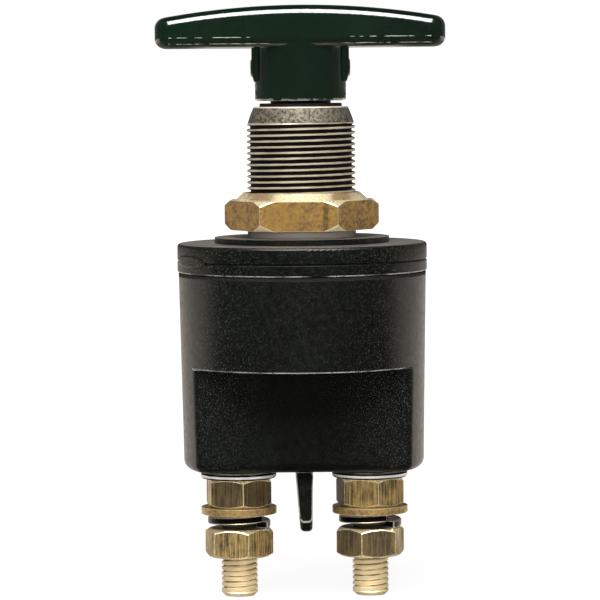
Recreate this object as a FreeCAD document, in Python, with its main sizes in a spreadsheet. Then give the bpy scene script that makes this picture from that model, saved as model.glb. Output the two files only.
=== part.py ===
import FreeCAD, Part
import os
from math import atan2, cos, radians, sin, sqrt
from types import SimpleNamespace

import Sketcher

# Panel-mounted battery isolator switch with a T-handle, a clamping nut on a threaded neck and two
# M10 terminals. Millimetres, +Z along the neck towards the handle. The origin is the middle of the
# cover's boss, the face that seats behind the panel. X runs along the handle and across the
# terminals. The switch is drawn open (off); a quarter turn clockwise closes it.

# Driving dimensions: name, value, what it is.
SIZES = [
    ("running_gap", 0.05, "radial gap of a turning or sliding fit"),
    ("loose_gap", 0.3, "gap round a moulded piece that slides or drops in"),
    ("stop_gap", 0.3, "angle left at each end of the stop's window, degrees"),
    ("neck_diameter", 30, "M30 x 1.5 neck over its thread"),
    ("neck_height", 36, "boss face to the neck's end"),
    ("neck_end_inset", 2, "crowned end of the neck, in from its thread"),
    ("neck_crown_inset", 0.3, "neck where its crown starts, in from its thread"),
    ("neck_crown_height", 4.5, "plain crowned length above the thread"),
    ("neck_crown_radius", 25, "bow of the crown"),
    ("flange_inset", 1.3, "neck flange, in from the raised seat's edge"),
    ("flange_flat_depth", 3, "depth of the neck flange's four flats"),
    ("flange_thickness", 3, "neck flange"),
    ("cover_diameter", 69.2, "cover rim"),
    ("shoulder_width", 10.4, "cover's shoulder, from its rim to the raised seat"),
    ("boss_height", 1.6, "raised seat above the cover's shoulder"),
    ("rim_height", 7.9, "cover's shoulder down to its lower edge"),
    ("rim_round", 0.9, "round on the cover's shoulder"),
    ("rim_groove_height", 3.2, "groove line above the cover's lower edge"),
    ("rim_groove_depth", 0.35, "depth of the groove line"),
    ("seam", 0.3, "gap between cover and housing"),
    ("gasket_inset", 1.3, "cover gasket, in from the cover's rim"),
    ("gasket_width", 1.6, "cover gasket"),
    ("gasket_thickness", 1.2, "cover gasket"),
    ("screw_inset", 5.4, "cover screws, in from the cover's rim"),
    ("screw_diameter", 4, "cover screw shank"),
    ("screw_head_diameter", 7.6, "countersunk head"),
    ("screw_slot_width", 1.1, "driver slot"),
    ("screw_slot_depth", 1.1, "driver slot"),
    ("insert_diameter", 5.6, "brass insert outside"),
    ("insert_length", 9, "brass insert"),
    ("housing_inset", 0.3, "housing's top, in from the cover's rim"),
    ("housing_draft", 1, "housing's base, in from its top"),
    ("housing_height", 54.5, "housing top face to base"),
    ("base_round", 2.8, "round on the housing's lower edge"),
    ("housing_flats", 33, "across the two flats of the lower housing"),
    ("flat_height", 28.8, "flats, above the base"),
    ("flat_corner_round", 3, "round where a flat meets the wall"),
    ("chamber_wall", 9.3, "wall of the round upper chamber, at the housing's top"),
    ("chamber_ledge", 2.5, "lower end of the round chamber, above the flats"),
    ("guide_wall", 3, "wall between each flat and the lower chamber"),
    ("spring_well_depth", 6, "well in the floor for the return spring"),
    ("spring_well_diameter", 14, "well in the floor for the return spring"),
    ("rib_thickness", 4.9, "barrier between the terminals, at its root"),
    ("rib_left_taper", 1.3, "lean of the barrier's left face"),
    ("rib_right_taper", 0.3, "lean of the barrier's right face"),
    ("rib_height", 17, "barrier below the base"),
    ("rib_depth", 24, "barrier, front to back"),
    ("rib_bevel", 3, "bevel on the barrier's lower corners"),
    ("rib_round", 1.2, "round on the barrier's tip"),
    ("stud_head_gap", 0.35, "stud head to the chamber's wall"),
    ("terminal_boss_diameter", 18, "seat round each stud"),
    ("terminal_boss_height", 1.2, "seat round each stud"),
    ("stud_diameter", 10, "M10 stud over its thread"),
    ("stud_reach", 35.7, "stud below the base"),
    ("stud_chamfer", 1, "stud end"),
    ("stud_head_diameter", 12.8, "stud head in the chamber"),
    ("stud_head_height", 4, "stud head in the chamber"),
    ("stud_undercut", 0.3, "depth of the thread undercut below the lower nut"),
    ("stud_undercut_width", 0.8, "width of the thread undercut"),
    ("contact_diameter", 11, "silver contact disc"),
    ("contact_thickness", 1.5, "silver contact disc"),
    ("contact_left_open", 0.1, "air left between the discs with the switch closed"),
    ("base_washer_diameter", 21, "steel washer on the seat"),
    ("base_washer_thickness", 1.5, "steel washer on the seat"),
    ("flat_washer_diameter", 21, "brass washer"),
    ("flat_washer_thickness", 2, "brass washer"),
    ("spring_washer_diameter", 17.4, "split washer outside"),
    ("spring_washer_thickness", 2, "split washer section height"),
    ("spring_washer_rise", 2, "open split washer, end over end"),
    ("washer_gap", 0.15, "radial gap between a stud and its washers"),
    ("split_gap", 16, "gap of the split washer, degrees"),
    ("nut_flats", 17, "M10 nut across its flats"),
    ("nut_height", 8, "M10 nut"),
    ("upper_nut_turn_left", 38, "turn of the left upper nut, degrees"),
    ("upper_nut_turn_right", 43, "turn of the right upper nut, degrees"),
    ("lower_nut_turn_left", 46, "turn of the left lower nut, degrees"),
    ("lower_nut_turn_right", 15, "turn of the right lower nut, degrees"),
    ("split_turn_left", 335, "place of the left washer's split, degrees"),
    ("split_turn_right", 318, "place of the right washer's split, degrees"),
    ("panel_nut_lift", 2, "clamping nut above the boss, with no panel fitted"),
    ("panel_nut_turn", 357.6, "turn of the clamping nut, degrees"),
    ("panel_nut_flats", 37.2, "clamping nut across its flats"),
    ("panel_nut_hex_height", 8.3, "hexagon of the clamping nut"),
    ("panel_nut_corner_cut", 1.7, "chamfers of the clamping nut, in from the corners"),
    ("panel_nut_upper_chamfer", 1.45, "upper chamfer, along the axis"),
    ("panel_nut_lower_chamfer", 1.7, "lower chamfer, along the axis"),
    ("panel_nut_collar_inset", 0.3, "foot of the collar, in from the flats"),
    ("panel_nut_collar_height", 2, "conical collar on the hexagon"),
    ("panel_nut_mouth", 1.1, "width of the collar's end face"),
    ("terminal_nut_corner_cut", 1.7, "chamfers of the M10 nuts, in from the corners"),
    ("terminal_nut_chamfer", 1, "chamfers of the M10 nuts, along the axis"),
    ("wiper_inset", 1.6, "seal on the neck's end, in from its edge"),
    ("wiper_thickness", 0.9, "seal on the neck's end"),
    ("handle_washer_diameter", 16.7, "washer under the hub"),
    ("handle_washer_thickness", 0.65, "washer under the hub"),
    ("hub_diameter", 25.2, "handle hub"),
    ("hub_height", 14.6, "hub below the bar"),
    ("ear_proud", 0.85, "pin ears beyond the hub"),
    ("ear_depth", 9.5, "width of a pin ear"),
    ("ear_drop", 9.25, "pin ears below the bar"),
    ("ear_bevel_drop", 2, "bevelled lower end of a pin ear"),
    ("ear_bevel", 0.6, "ear's lower end, in from its face"),
    ("ear_round", 0.6, "round on the ears' upright edges"),
    ("hub_edge", 0.6, "round on the hub's lower edge"),
    ("pin_round", 0.6, "round on the ends of the cross pins"),
    ("bar_length", 80, "handle bar"),
    ("bar_thickness", 11.7, "handle bar at its middle"),
    ("bar_fall", 3.6, "bar's top, from the middle down to its ends"),
    ("bar_depth", 25.6, "bar, front to back at its middle"),
    ("bar_end_depth", 17, "bar, front to back at its ends"),
    ("bar_end_round", 5, "upright corners of the bar"),
    ("bar_lower_round", 2.8, "round on the bar's lower edge"),
    ("bar_upper_round", 3, "round on the bar's upper edge"),
    ("shaft_diameter", 12, "shaft"),
    ("shaft_head", 3.3, "shaft above the handle pin's axis"),
    ("shoulder_diameter", 18, "thrust shoulder of the shaft"),
    ("thrust_washer_thickness", 1, "washer above the shoulder"),
    ("lug_length", 6.5, "stop lug beyond the shoulder"),
    ("lug_angle", 30, "stop lug, degrees"),
    ("stop_plate_gap", 0.5, "between the stop plate and a cover screw"),
    ("stop_plate_thickness", 3.5, "plate with the stop's window"),
    ("quarter_turn", 90, "handle's travel, degrees"),
    ("oring_section", 1.8, "shaft O-ring"),
    ("oring_lower_height", 8, "lower O-ring above the boss face"),
    ("oring_upper_height", 24, "upper O-ring above the boss face"),
    ("handle_pin_diameter", 5, "cross pin of the handle"),
    ("handle_pin_rise", 3.75, "cross pin above the ears' lower ends"),
    ("handle_pin_proud", 0.35, "cross pin beyond each ear"),
    ("drive_pin_diameter", 5, "cross pin that drives the carrier"),
    ("drive_pin_inset", 0.5, "drive pin's ends, in from the carrier's sleeve"),
    ("drive_pin_drop", 9.8, "drive pin below the housing's top face"),
    ("shaft_tail", 4.5, "shaft below the drive pin's axis"),
    ("shaft_end_gap", 1, "shaft's end to the bottom of the carrier's bore"),
    ("bridge_travel", 3, "carrier's travel in a quarter turn"),
    ("cam_gap", 0.3, "gap round the drive pin in its slots"),
    ("sleeve_gap", 1, "carrier's sleeve to the guide walls"),
    ("carrier_top_drop", 1.8, "carrier sleeve below the housing's top face"),
    ("carrier_roof", 4.4, "carrier between its bore and its window"),
    ("carrier_gap", 0.85, "carrier's yoke to a stud head"),
    ("carrier_sill", 4.1, "carrier below the bridge"),
    ("bridge_end_gap", 1, "contact bridge's ends to the chamber's wall"),
    ("bridge_width", 12, "contact bridge"),
    ("bridge_thickness", 4, "contact bridge"),
    ("rivet_shank_diameter", 4, "rivet of a moving contact"),
    ("rivet_head_diameter", 6.4, "rivet of a moving contact"),
    ("rivet_head_height", 1, "rivet of a moving contact"),
    ("contact_spring_height", 6, "spring above the bridge"),
    ("contact_spring_mean", 9, "spring above the bridge, mean diameter"),
    ("contact_spring_wire", 1.5, "spring above the bridge"),
    ("contact_spring_turns", 2.2, "spring above the bridge"),
    ("return_spring_mean", 10.4, "spring under the carrier, mean diameter"),
    ("return_spring_wire", 1.4, "spring under the carrier"),
    ("return_spring_turns", 4.5, "spring under the carrier"),
]
HEX = 2 / sqrt(3)  # a hexagon's width across its corners over that across its flats
CLEAR_OF_ALL = 100  # length of a cut that runs right out of a piece


class Size:
    """A length as its value now and its formula over the sheet's cells."""

    def __init__(self, value, formula):
        self.value = value
        self.formula = formula

    def _join(self, sign, other, value):
        return Size(value, f"({self.formula} {sign} {other.formula})")

    def __add__(self, other):
        other = size(other)
        return self._join("+", other, self.value + other.value)

    def __sub__(self, other):
        other = size(other)
        return self._join("-", other, self.value - other.value)

    def __mul__(self, other):
        other = size(other)
        return self._join("*", other, self.value * other.value)

    def __truediv__(self, other):
        other = size(other)
        return self._join("/", other, self.value / other.value)

    def __radd__(self, other):
        return size(other) + self

    def __rsub__(self, other):
        return size(other) - self

    def __rmul__(self, other):
        return size(other) * self

    def __neg__(self):
        return size(0) - self


def size(x):
    return x if isinstance(x, Size) else Size(float(x), f"{float(x):.9f}")


def root(x):
    return Size(sqrt(x.value), f"sqrt({x.formula})")


def cosine(x):
    return Size(cos(radians(x.value)), f"cos({x.formula})")


def sine(x):
    return Size(sin(radians(x.value)), f"sin({x.formula})")


def bind(thing, **sizes):
    for name, value in sizes.items():
        thing.setExpression(name, size(value).formula)
    return thing


def place(thing, x=0, y=0, z=0, turn=None):
    if turn is not None:
        thing.Placement = FreeCAD.Placement(
            FreeCAD.Vector(), FreeCAD.Rotation(FreeCAD.Vector(0, 0, 1), 1)
        )
        thing.setExpression("Placement.Rotation.Angle", size(turn).formula)
    for axis, value in zip("xyz", (x, y, z)):
        thing.setExpression(f"Placement.Base.{axis}", size(value).formula)
    return thing


# ---- the document and its sheet ----
doc = FreeCAD.newDocument("battery_switch")
sheet = doc.addObject("Spreadsheet::Sheet", "sizes")
for number, (alias, value, note) in enumerate(SIZES, start=1):
    sheet.set(f"A{number}", alias)
    sheet.set(f"B{number}", str(value))
    sheet.set(f"C{number}", note)
    sheet.setAlias(f"B{number}", alias)
doc.recompute()


s = SimpleNamespace(
    **{alias: Size(float(value), f"sizes.{alias}") for alias, value, note in SIZES}
)


# ---- sketches and features ----
def new_body(name):
    body = doc.addObject("PartDesign::Body", name)
    body.Label = name
    return body


def origin_feature(body, role):
    return next(f for f in body.Origin.OriginFeatures if f.Role == role)


def new_sketch(body, plane, offset):
    sketch = body.newObject("Sketcher::SketchObject", f"{body.Name}_sketch")
    sketch.AttachmentSupport = [(origin_feature(body, plane), "")]
    sketch.MapMode = "FlatFace"
    sketch.setExpression("AttachmentOffset.Base.z", size(offset).formula)
    return sketch


def pin_point(sketch, geometry, end, across, up):
    """Holds a sketch point at its two distances from the origin."""
    for kind, value in (("DistanceX", across), ("DistanceY", up)):
        number = sketch.addConstraint(
            Sketcher.Constraint(kind, geometry, end, size(value).value)
        )
        sketch.setExpression(f"Constraints[{number}]", size(value).formula)


def round_edge(start, end, radius):
    """An arc from start to end, its centre on the left for a radius above 0, as (arc, turned)."""
    a, b = FreeCAD.Vector(*start, 0), FreeCAD.Vector(*end, 0)
    chord = b - a
    left = FreeCAD.Vector(-chord.y, chord.x, 0).normalize()
    rise = sqrt(max(radius**2 - chord.Length**2 / 4, 0))
    centre = (a + b) * 0.5 + left * (rise if radius > 0 else -rise)
    circle = Part.Circle(centre, FreeCAD.Vector(0, 0, 1), abs(radius))
    angles = [atan2(p.y - centre.y, p.x - centre.x) for p in (a, b)]
    if radius < 0:
        angles.reverse()
    return Part.ArcOfCircle(circle, *angles), radius < 0


def outline(body, plane, points, offset=0):
    """A closed sketch through points: (across, up), or (across, up, radius) where an arc follows."""
    sketch = new_sketch(body, plane, offset)
    flat = [(size(p[0]), size(p[1])) for p in points]
    ends = []
    for number, point in enumerate(points):
        start = [c.value for c in flat[number]]
        end = [c.value for c in flat[(number + 1) % len(points)]]
        if len(point) == 3:
            radius = size(point[2])
            edge, turned = round_edge(start, end, radius.value)
            index = sketch.addGeometry(edge)
            held = sketch.addConstraint(
                Sketcher.Constraint("Radius", index, abs(radius.value))
            )
            sign = "-" if radius.value < 0 else ""
            sketch.setExpression(
                f"Constraints[{held}]", f"{sign}({radius.formula})"
            )
        else:
            vectors = FreeCAD.Vector(*start, 0), FreeCAD.Vector(*end, 0)
            index = sketch.addGeometry(Part.LineSegment(*vectors))
            turned = False
        ends.append((index, 2 if turned else 1, 1 if turned else 2))
    for number, (index, first, last) in enumerate(ends):
        following = ends[(number + 1) % len(ends)]
        sketch.addConstraint(
            Sketcher.Constraint("Coincident", index, last, following[0], following[1])
        )
        pin_point(sketch, index, first, *flat[number])
    return sketch


def disc(body, plane, radius, across=0, up=0, offset=0):
    sketch = new_sketch(body, plane, offset)
    centre = FreeCAD.Vector(size(across).value, size(up).value, 0)
    circle = Part.Circle(centre, FreeCAD.Vector(0, 0, 1), radius.value)
    index = sketch.addGeometry(circle)
    held = sketch.addConstraint(Sketcher.Constraint("Radius", index, radius.value))
    sketch.setExpression(f"Constraints[{held}]", radius.formula)
    pin_point(sketch, index, 3, across, up)
    return sketch


def box_outline(body, plane, half_width, half_height, offset=0):
    corners = [(-1, -1), (1, -1), (1, 1), (-1, 1)]
    points = [(half_width * i, half_height * j) for i, j in corners]
    return outline(body, plane, points, offset)


def feature(body, kind, sketch):
    made = body.newObject(f"PartDesign::{kind}", f"{body.Name}_{kind.lower()}")
    made.Profile = sketch
    return made


def pad(body, sketch, length, both_ways=False, down=False):
    made = bind(feature(body, "Pad", sketch), Length=length)
    made.SideType = "Symmetric" if both_ways else "One side"
    made.Reversed = down
    return made


def pocket(body, sketch, length, both_ways=False, up=False):
    """Cuts down from the sketch, or up, or both ways along its normal."""
    made = bind(feature(body, "Pocket", sketch), Length=length)
    made.SideType = "Symmetric" if both_ways else "One side"
    made.Reversed = up
    return made


def revolve(body, sketch, kind="Revolution"):
    made = feature(body, kind, sketch)
    made.ReferenceAxis = (origin_feature(body, "Z_Axis"), [""])
    made.Angle = 360
    return made


def turned(name, points):
    """A body turned about Z from its half outline, given as (radius, height) points."""
    body = new_body(name)
    revolve(body, outline(body, "XZ_Plane", points))
    return body


def ring(name, inner, outer, low, high):
    return turned(name, [(inner, low), (outer, low), (outer, high), (inner, high)])


def helix(body, kind, sketch, height, turns, left_handed=False):
    made = feature(body, kind, sketch)
    made.ReferenceAxis = (origin_feature(body, "Z_Axis"), [""])
    made.Mode = "height-turns-angle"
    made.Angle = 0
    made.LeftHanded = left_handed
    return bind(made, Height=height, Turns=turns)


def around(body, features, count):
    """Repeats features about Z."""
    pattern = body.newObject("PartDesign::PolarPattern", f"{body.Name}_pattern")
    pattern.Originals = features
    pattern.Axis = (origin_feature(body, "Z_Axis"), [""])
    pattern.Angle = 360
    pattern.Occurrences = count
    body.Tip = pattern
    return pattern


def dress_edges(body, kind, wanted, **sizes):
    """A Fillet or Chamfer on the edges so far whose middle point wanted accepts."""
    doc.recompute()
    base = body.Tip
    names = [
        f"Edge{number}"
        for number, edge in enumerate(base.Shape.Edges, start=1)
        if wanted(edge.valueAt((edge.FirstParameter + edge.LastParameter) / 2))
    ]
    made = body.newObject(f"PartDesign::{kind}", f"{body.Name}_{kind.lower()}")
    made.Base = (base, names)
    return bind(made, **sizes)


def fillet(body, radius, wanted):
    return dress_edges(body, "Fillet", wanted, Radius=radius)


def chamfer(body, cut, wanted):
    return dress_edges(body, "Chamfer", wanted, Size=cut)


def near(a, b, within=0.05):
    return abs(a - b) < within


def copies(name, master, places):
    """A sub-part of several like solids: places are dicts for place()."""
    links = []
    for number, where in enumerate(places, start=1):
        link = doc.addObject("App::Link", f"{name}_{number}")
        link.LinkedObject = master
        links.append(place(link, **where))
    group = doc.addObject("Part::Compound", name)
    group.Label = name
    group.Links = links
    return group


# ---- sizes and heights that several pieces share ----
neck_radius = s.neck_diameter / 2
neck_end_radius = neck_radius - s.neck_end_inset
shaft_radius = s.shaft_diameter / 2
shaft_bore = shaft_radius + s.running_gap
shoulder_radius = s.shoulder_diameter / 2
lug_reach = shoulder_radius + s.lug_length
lug_start = 90 - s.lug_angle / 2
rim_radius = s.cover_diameter / 2
boss_radius = rim_radius - s.shoulder_width
screw_radius = s.screw_diameter / 2
screw_circle_radius = rim_radius - s.screw_inset
screw_offset = screw_circle_radius / sqrt(2)
gasket_outer = rim_radius - s.gasket_inset
gasket_inner = gasket_outer - s.gasket_width
stop_plate_radius = screw_circle_radius - screw_radius - s.stop_plate_gap
housing_top_radius = rim_radius - s.housing_inset
chamber_radius = housing_top_radius - s.chamber_wall
half_slot = s.housing_flats / 2 - s.guide_wall
half_spacing = chamber_radius - s.stud_head_gap - s.stud_head_diameter / 2
sleeve_radius = half_slot - s.sleeve_gap
stud_radius = s.stud_diameter / 2
washer_bore = stud_radius + s.washer_gap
ear_width = s.hub_diameter + 2 * s.ear_proud

# downwards from the boss face
shoulder_z = -s.boss_height
rim_low_z = shoulder_z - s.rim_height
housing_top_z = rim_low_z - s.seam
flange_low_z = housing_top_z + s.stop_plate_thickness
flange_top_z = flange_low_z + s.flange_thickness
thrust_low_z = flange_low_z - s.running_gap - s.thrust_washer_thickness
drive_pin_z = housing_top_z - s.drive_pin_drop
bore_end_z = drive_pin_z - s.shaft_tail - s.shaft_end_gap
window_top_z = bore_end_z - s.carrier_roof
bridge_top_z = window_top_z - s.contact_spring_height
bridge_low_z = bridge_top_z - s.bridge_thickness
moving_contact_low_z = bridge_low_z - s.contact_thickness
fixed_contact_top_z = moving_contact_low_z - s.bridge_travel - s.contact_left_open
fixed_contact_low_z = fixed_contact_top_z - s.contact_thickness
floor_z = fixed_contact_low_z - s.stud_head_height
spring_well_z = floor_z - s.spring_well_depth
carrier_top_z = housing_top_z - s.carrier_top_drop
carrier_low_z = bridge_low_z - s.carrier_sill
base_z = housing_top_z - s.housing_height
flats_top_z = base_z + s.flat_height
ledge_z = flats_top_z + s.chamber_ledge
seat_z = base_z - s.terminal_boss_height
base_washer_low_z = seat_z - s.base_washer_thickness
upper_nut_low_z = base_washer_low_z - s.nut_height
flat_washer_low_z = upper_nut_low_z - s.flat_washer_thickness
split_washer_height = s.spring_washer_thickness + s.spring_washer_rise
split_washer_low_z = flat_washer_low_z - split_washer_height
lower_nut_low_z = split_washer_low_z - s.nut_height
stud_end_z = base_z - s.stud_reach

# upwards from the neck's end
wiper_top_z = s.neck_height + s.wiper_thickness
hub_low_z = wiper_top_z + s.running_gap + s.handle_washer_thickness
bar_low_z = hub_low_z + s.hub_height
ear_low_z = bar_low_z - s.ear_drop
handle_pin_z = ear_low_z + s.handle_pin_rise
shaft_top_z = handle_pin_z + s.shaft_head


# ---- moulded case ----
def make_housing():
    """Black moulding: drafted drum, two flats, switch chamber, terminal seats and barrier rib."""
    body = new_body("housing")
    base_radius = housing_top_radius - s.housing_draft
    revolve(
        body,
        outline(
            body,
            "XZ_Plane",
            [
                (0, base_z),
                (base_radius, base_z),
                (housing_top_radius, housing_top_z),
                (chamber_radius, housing_top_z),
                (chamber_radius, ledge_z),
                (0, ledge_z),
            ],
        ),
    )
    # lower chamber: two flat guide walls that keep the carrier from turning
    slot_end = root(chamber_radius * chamber_radius - half_slot * half_slot)
    chamber = outline(
        body,
        "XY_Plane",
        [
            (slot_end, -half_slot, chamber_radius),
            (slot_end, half_slot),
            (-slot_end, half_slot, chamber_radius),
            (-slot_end, -half_slot),
        ],
        ledge_z,
    )
    pocket(body, chamber, ledge_z - floor_z)
    well = disc(body, "XY_Plane", s.spring_well_diameter / 2, offset=floor_z)
    pocket(body, well, s.spring_well_depth)
    # flats on the lower front and back
    half_flats = s.housing_flats / 2
    for side in (1, -1):
        near_edge, far_edge = half_flats * side, s.cover_diameter * side
        cut = outline(
            body,
            "XY_Plane",
            [
                (-s.cover_diameter, near_edge),
                (s.cover_diameter, near_edge),
                (s.cover_diameter, far_edge),
                (-s.cover_diameter, far_edge),
            ],
            base_z,
        )
        pocket(body, cut, s.flat_height, up=True)
    quarter = s.flat_height.value / 4
    fillet(
        body,
        s.flat_corner_round,
        lambda p: near(abs(p.y), half_flats.value)
        and base_z.value + quarter < p.z < flats_top_z.value - quarter,
    )
    fillet(
        body,
        s.base_round,
        lambda p: near(p.z, base_z.value) and p.Length > half_flats.value,
    )
    for side in (1, -1):
        boss = disc(
            body,
            "XY_Plane",
            s.terminal_boss_diameter / 2,
            half_spacing * side,
            0,
            base_z,
        )
        pad(body, boss, s.terminal_boss_height, down=True)
        bore = disc(body, "XY_Plane", stud_radius, half_spacing * side, 0, floor_z)
        pocket(body, bore, floor_z - seat_z)
    rib = outline(
        body,
        "XZ_Plane",
        [
            (-s.rib_thickness / 2, base_z),
            (s.rib_left_taper - s.rib_thickness / 2, base_z - s.rib_height),
            (s.rib_thickness / 2 - s.rib_right_taper, base_z - s.rib_height),
            (s.rib_thickness / 2, base_z),
        ],
    )
    pad(body, rib, s.rib_depth, both_ways=True)
    tip_z = base_z.value - s.rib_height.value
    rib_end = s.rib_depth.value / 2
    chamfer(
        body,
        s.rib_bevel,
        lambda p: near(p.z, tip_z) and near(abs(p.y), rib_end),
    )
    fillet(
        body,
        s.rib_round,
        lambda p: p.z < tip_z + s.rib_bevel.value
        and abs(p.x) > s.rib_thickness.value / 8,
    )
    # insert holes for the cover screws
    hole = disc(
        body,
        "XY_Plane",
        s.insert_diameter / 2,
        screw_offset,
        screw_offset,
        housing_top_z,
    )
    around(body, [pocket(body, hole, s.insert_length)], 4)
    return body


def make_cover():
    """Black moulding: boss, rim with its groove line, seat for the neck flange and stop plate."""
    groove_z = rim_low_z + s.rim_groove_height
    groove_outer = gasket_outer + s.running_gap
    groove_inner = gasket_inner - s.running_gap
    gasket_top_z = housing_top_z + s.gasket_thickness
    plate_bore = stop_plate_radius + s.running_gap
    body = turned(
        "cover",
        [
            (neck_radius + s.running_gap, 0),
            (neck_radius + s.running_gap, flange_low_z),
            (plate_bore, flange_low_z),
            (plate_bore, rim_low_z),
            (groove_inner, rim_low_z),
            (groove_inner, gasket_top_z),
            (groove_outer, gasket_top_z),
            (groove_outer, rim_low_z),
            (rim_radius, rim_low_z),
            (rim_radius, groove_z - s.rim_groove_depth),
            (rim_radius - s.rim_groove_depth, groove_z),
            (rim_radius, groove_z + s.rim_groove_depth),
            (rim_radius, shoulder_z - s.rim_round, s.rim_round),
            (rim_radius - s.rim_round, shoulder_z),
            (boss_radius, shoulder_z),
            (boss_radius, 0),
        ],
    )
    seat = flange_outline(body, s.running_gap, flange_low_z)
    pocket(body, seat, s.flange_thickness, up=True)
    doc.recompute()
    start = disc(
        body, "XY_Plane", screw_radius, screw_offset, screw_offset, shoulder_z
    )
    hole = feature(body, "Hole", start)
    hole.DepthType = "ThroughAll"
    hole.HoleCutType = "Countersink"
    hole.HoleCutCustomValues = True
    hole.HoleCutCountersinkAngle = 90
    bind(
        hole,
        Diameter=s.screw_diameter + 2 * s.running_gap,
        HoleCutDiameter=s.screw_head_diameter + 2 * s.running_gap,
    )
    around(body, [hole], 4)
    return body


def flange_outline(body, gap, offset):
    """The neck flange's outline, a circle with four flats, grown by gap."""
    radius = boss_radius - s.flange_inset + gap
    flat = radius - s.flange_flat_depth
    short = root(radius * radius - flat * flat)
    points = []
    for across, up in ((1, 0), (0, 1), (-1, 0), (0, -1)):
        points.append((flat * across + short * up, flat * up - short * across))
        points.append(
            (flat * across - short * up, flat * up + short * across, radius)
        )
    return outline(body, "XY_Plane", points, offset)


def make_cover_screw():
    """Slotted countersunk screw, its head's flat face at the origin."""
    head_radius = s.screw_head_diameter / 2
    length = s.rim_height + s.seam + s.insert_length
    body = turned(
        "cover_screw",
        [
            (0, 0),
            (0, -length),
            (screw_radius, -length),
            (screw_radius, screw_radius - head_radius),
            (head_radius, 0),
        ],
    )
    slot = box_outline(body, "XY_Plane", head_radius, s.screw_slot_width / 2)
    pocket(body, slot, s.screw_slot_depth)
    return body


# ---- neck, panel clamp and seals ----
def make_neck():
    """Turned neck with a captive flange, a plain crowned end and the shaft's bearing bore."""
    crown_z = s.neck_height - s.neck_crown_height
    body = new_body("neck_bushing")
    flange = flange_outline(body, 0, flange_low_z)
    pad(body, flange, s.flange_thickness)
    stem = outline(
        body,
        "XZ_Plane",
        [
            (0, flange_top_z),
            (neck_radius, flange_top_z),
            (neck_radius, crown_z),
            (neck_radius - s.neck_crown_inset, crown_z, s.neck_crown_radius),
            (neck_end_radius, s.neck_height),
            (0, s.neck_height),
        ],
    )
    revolve(body, stem)
    bore = disc(body, "XY_Plane", shaft_bore, offset=s.neck_height)
    pocket(body, bore, s.neck_height - flange_low_z)
    return body


def hexagon(body, corner):
    """A hexagon with a corner along X, corner from the axis."""
    turns = [radians(60 * i) for i in range(6)]
    points = [(corner * cos(turn), corner * sin(turn)) for turn in turns]
    return outline(body, "XY_Plane", points)


def trim_corners(body, corner, cut_in, cut_along, face_z, upwards):
    """A conical cut over a hexagon's corners: cut_in from them, and cut_along from face_z."""
    along = cut_along if upwards else -cut_along
    beyond = corner + cut_in
    points = [(corner - cut_in, face_z), (beyond, face_z), (beyond, face_z + 2 * along)]
    revolve(body, outline(body, "XZ_Plane", points), "Groove")


def make_terminal_nut():
    """M10 nut, its lower face at the origin, a corner along X."""
    body = new_body("terminal_nut")
    corner = s.nut_flats * HEX / 2
    pad(body, hexagon(body, corner), s.nut_height)
    cut = (s.terminal_nut_corner_cut, s.terminal_nut_chamfer)
    trim_corners(body, corner, *cut, 0, True)
    trim_corners(body, corner, *cut, s.nut_height, False)
    bore = disc(body, "XY_Plane", stud_radius, offset=s.nut_height)
    pocket(body, bore, s.nut_height)
    return body


def make_panel_nut():
    """Brass clamping nut: chamfered hexagon with a conical collar, a flat towards the front."""
    body = new_body("panel_nut")
    corner = s.panel_nut_flats * HEX / 2
    pad(body, hexagon(body, corner), s.panel_nut_hex_height)
    cut_in = s.panel_nut_corner_cut
    trim_corners(body, corner, cut_in, s.panel_nut_lower_chamfer, 0, True)
    trim_corners(
        body,
        corner,
        cut_in,
        s.panel_nut_upper_chamfer,
        s.panel_nut_hex_height,
        False,
    )
    bore_radius = neck_radius + s.running_gap
    collar_radius = s.panel_nut_flats / 2 - s.panel_nut_collar_inset
    top_z = s.panel_nut_hex_height + s.panel_nut_collar_height
    collar = outline(
        body,
        "XZ_Plane",
        [
            (0, 0),
            (collar_radius, 0),
            (collar_radius, s.panel_nut_hex_height),
            (bore_radius + s.panel_nut_mouth, top_z),
            (0, top_z),
        ],
    )
    revolve(body, collar)
    bore = disc(body, "XY_Plane", bore_radius, offset=top_z)
    pocket(body, bore, top_z)
    return place(body, z=s.panel_nut_lift, turn=s.panel_nut_turn)


# ---- terminals ----
def make_stud(name, side):
    """M10 stud moulded into the floor, head inside, with a thread undercut below the lower nut."""
    waist = stud_radius - s.stud_undercut
    undercut_low_z = lower_nut_low_z - s.stud_undercut_width
    body = turned(
        name,
        [
            (0, stud_end_z),
            (stud_radius - s.stud_chamfer, stud_end_z),
            (stud_radius, stud_end_z + s.stud_chamfer),
            (stud_radius, undercut_low_z),
            (waist, undercut_low_z),
            (waist, lower_nut_low_z),
            (stud_radius, lower_nut_low_z),
            (stud_radius, floor_z),
            (s.stud_head_diameter / 2, floor_z),
            (s.stud_head_diameter / 2, fixed_contact_low_z),
            (0, fixed_contact_low_z),
        ],
    )
    return place(body, x=half_spacing * side)


def make_split_washer():
    """Split spring washer, open, its lower end at the origin's height."""
    body = new_body("split_washer")
    outer = s.spring_washer_diameter / 2
    section = outline(
        body,
        "XZ_Plane",
        [
            (washer_bore, 0),
            (outer, 0),
            (outer, s.spring_washer_thickness),
            (washer_bore, s.spring_washer_thickness),
        ],
    )
    turns = (360 - s.split_gap) / 360
    helix(body, "AdditiveHelix", section, s.spring_washer_rise, turns)
    return body


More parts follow.
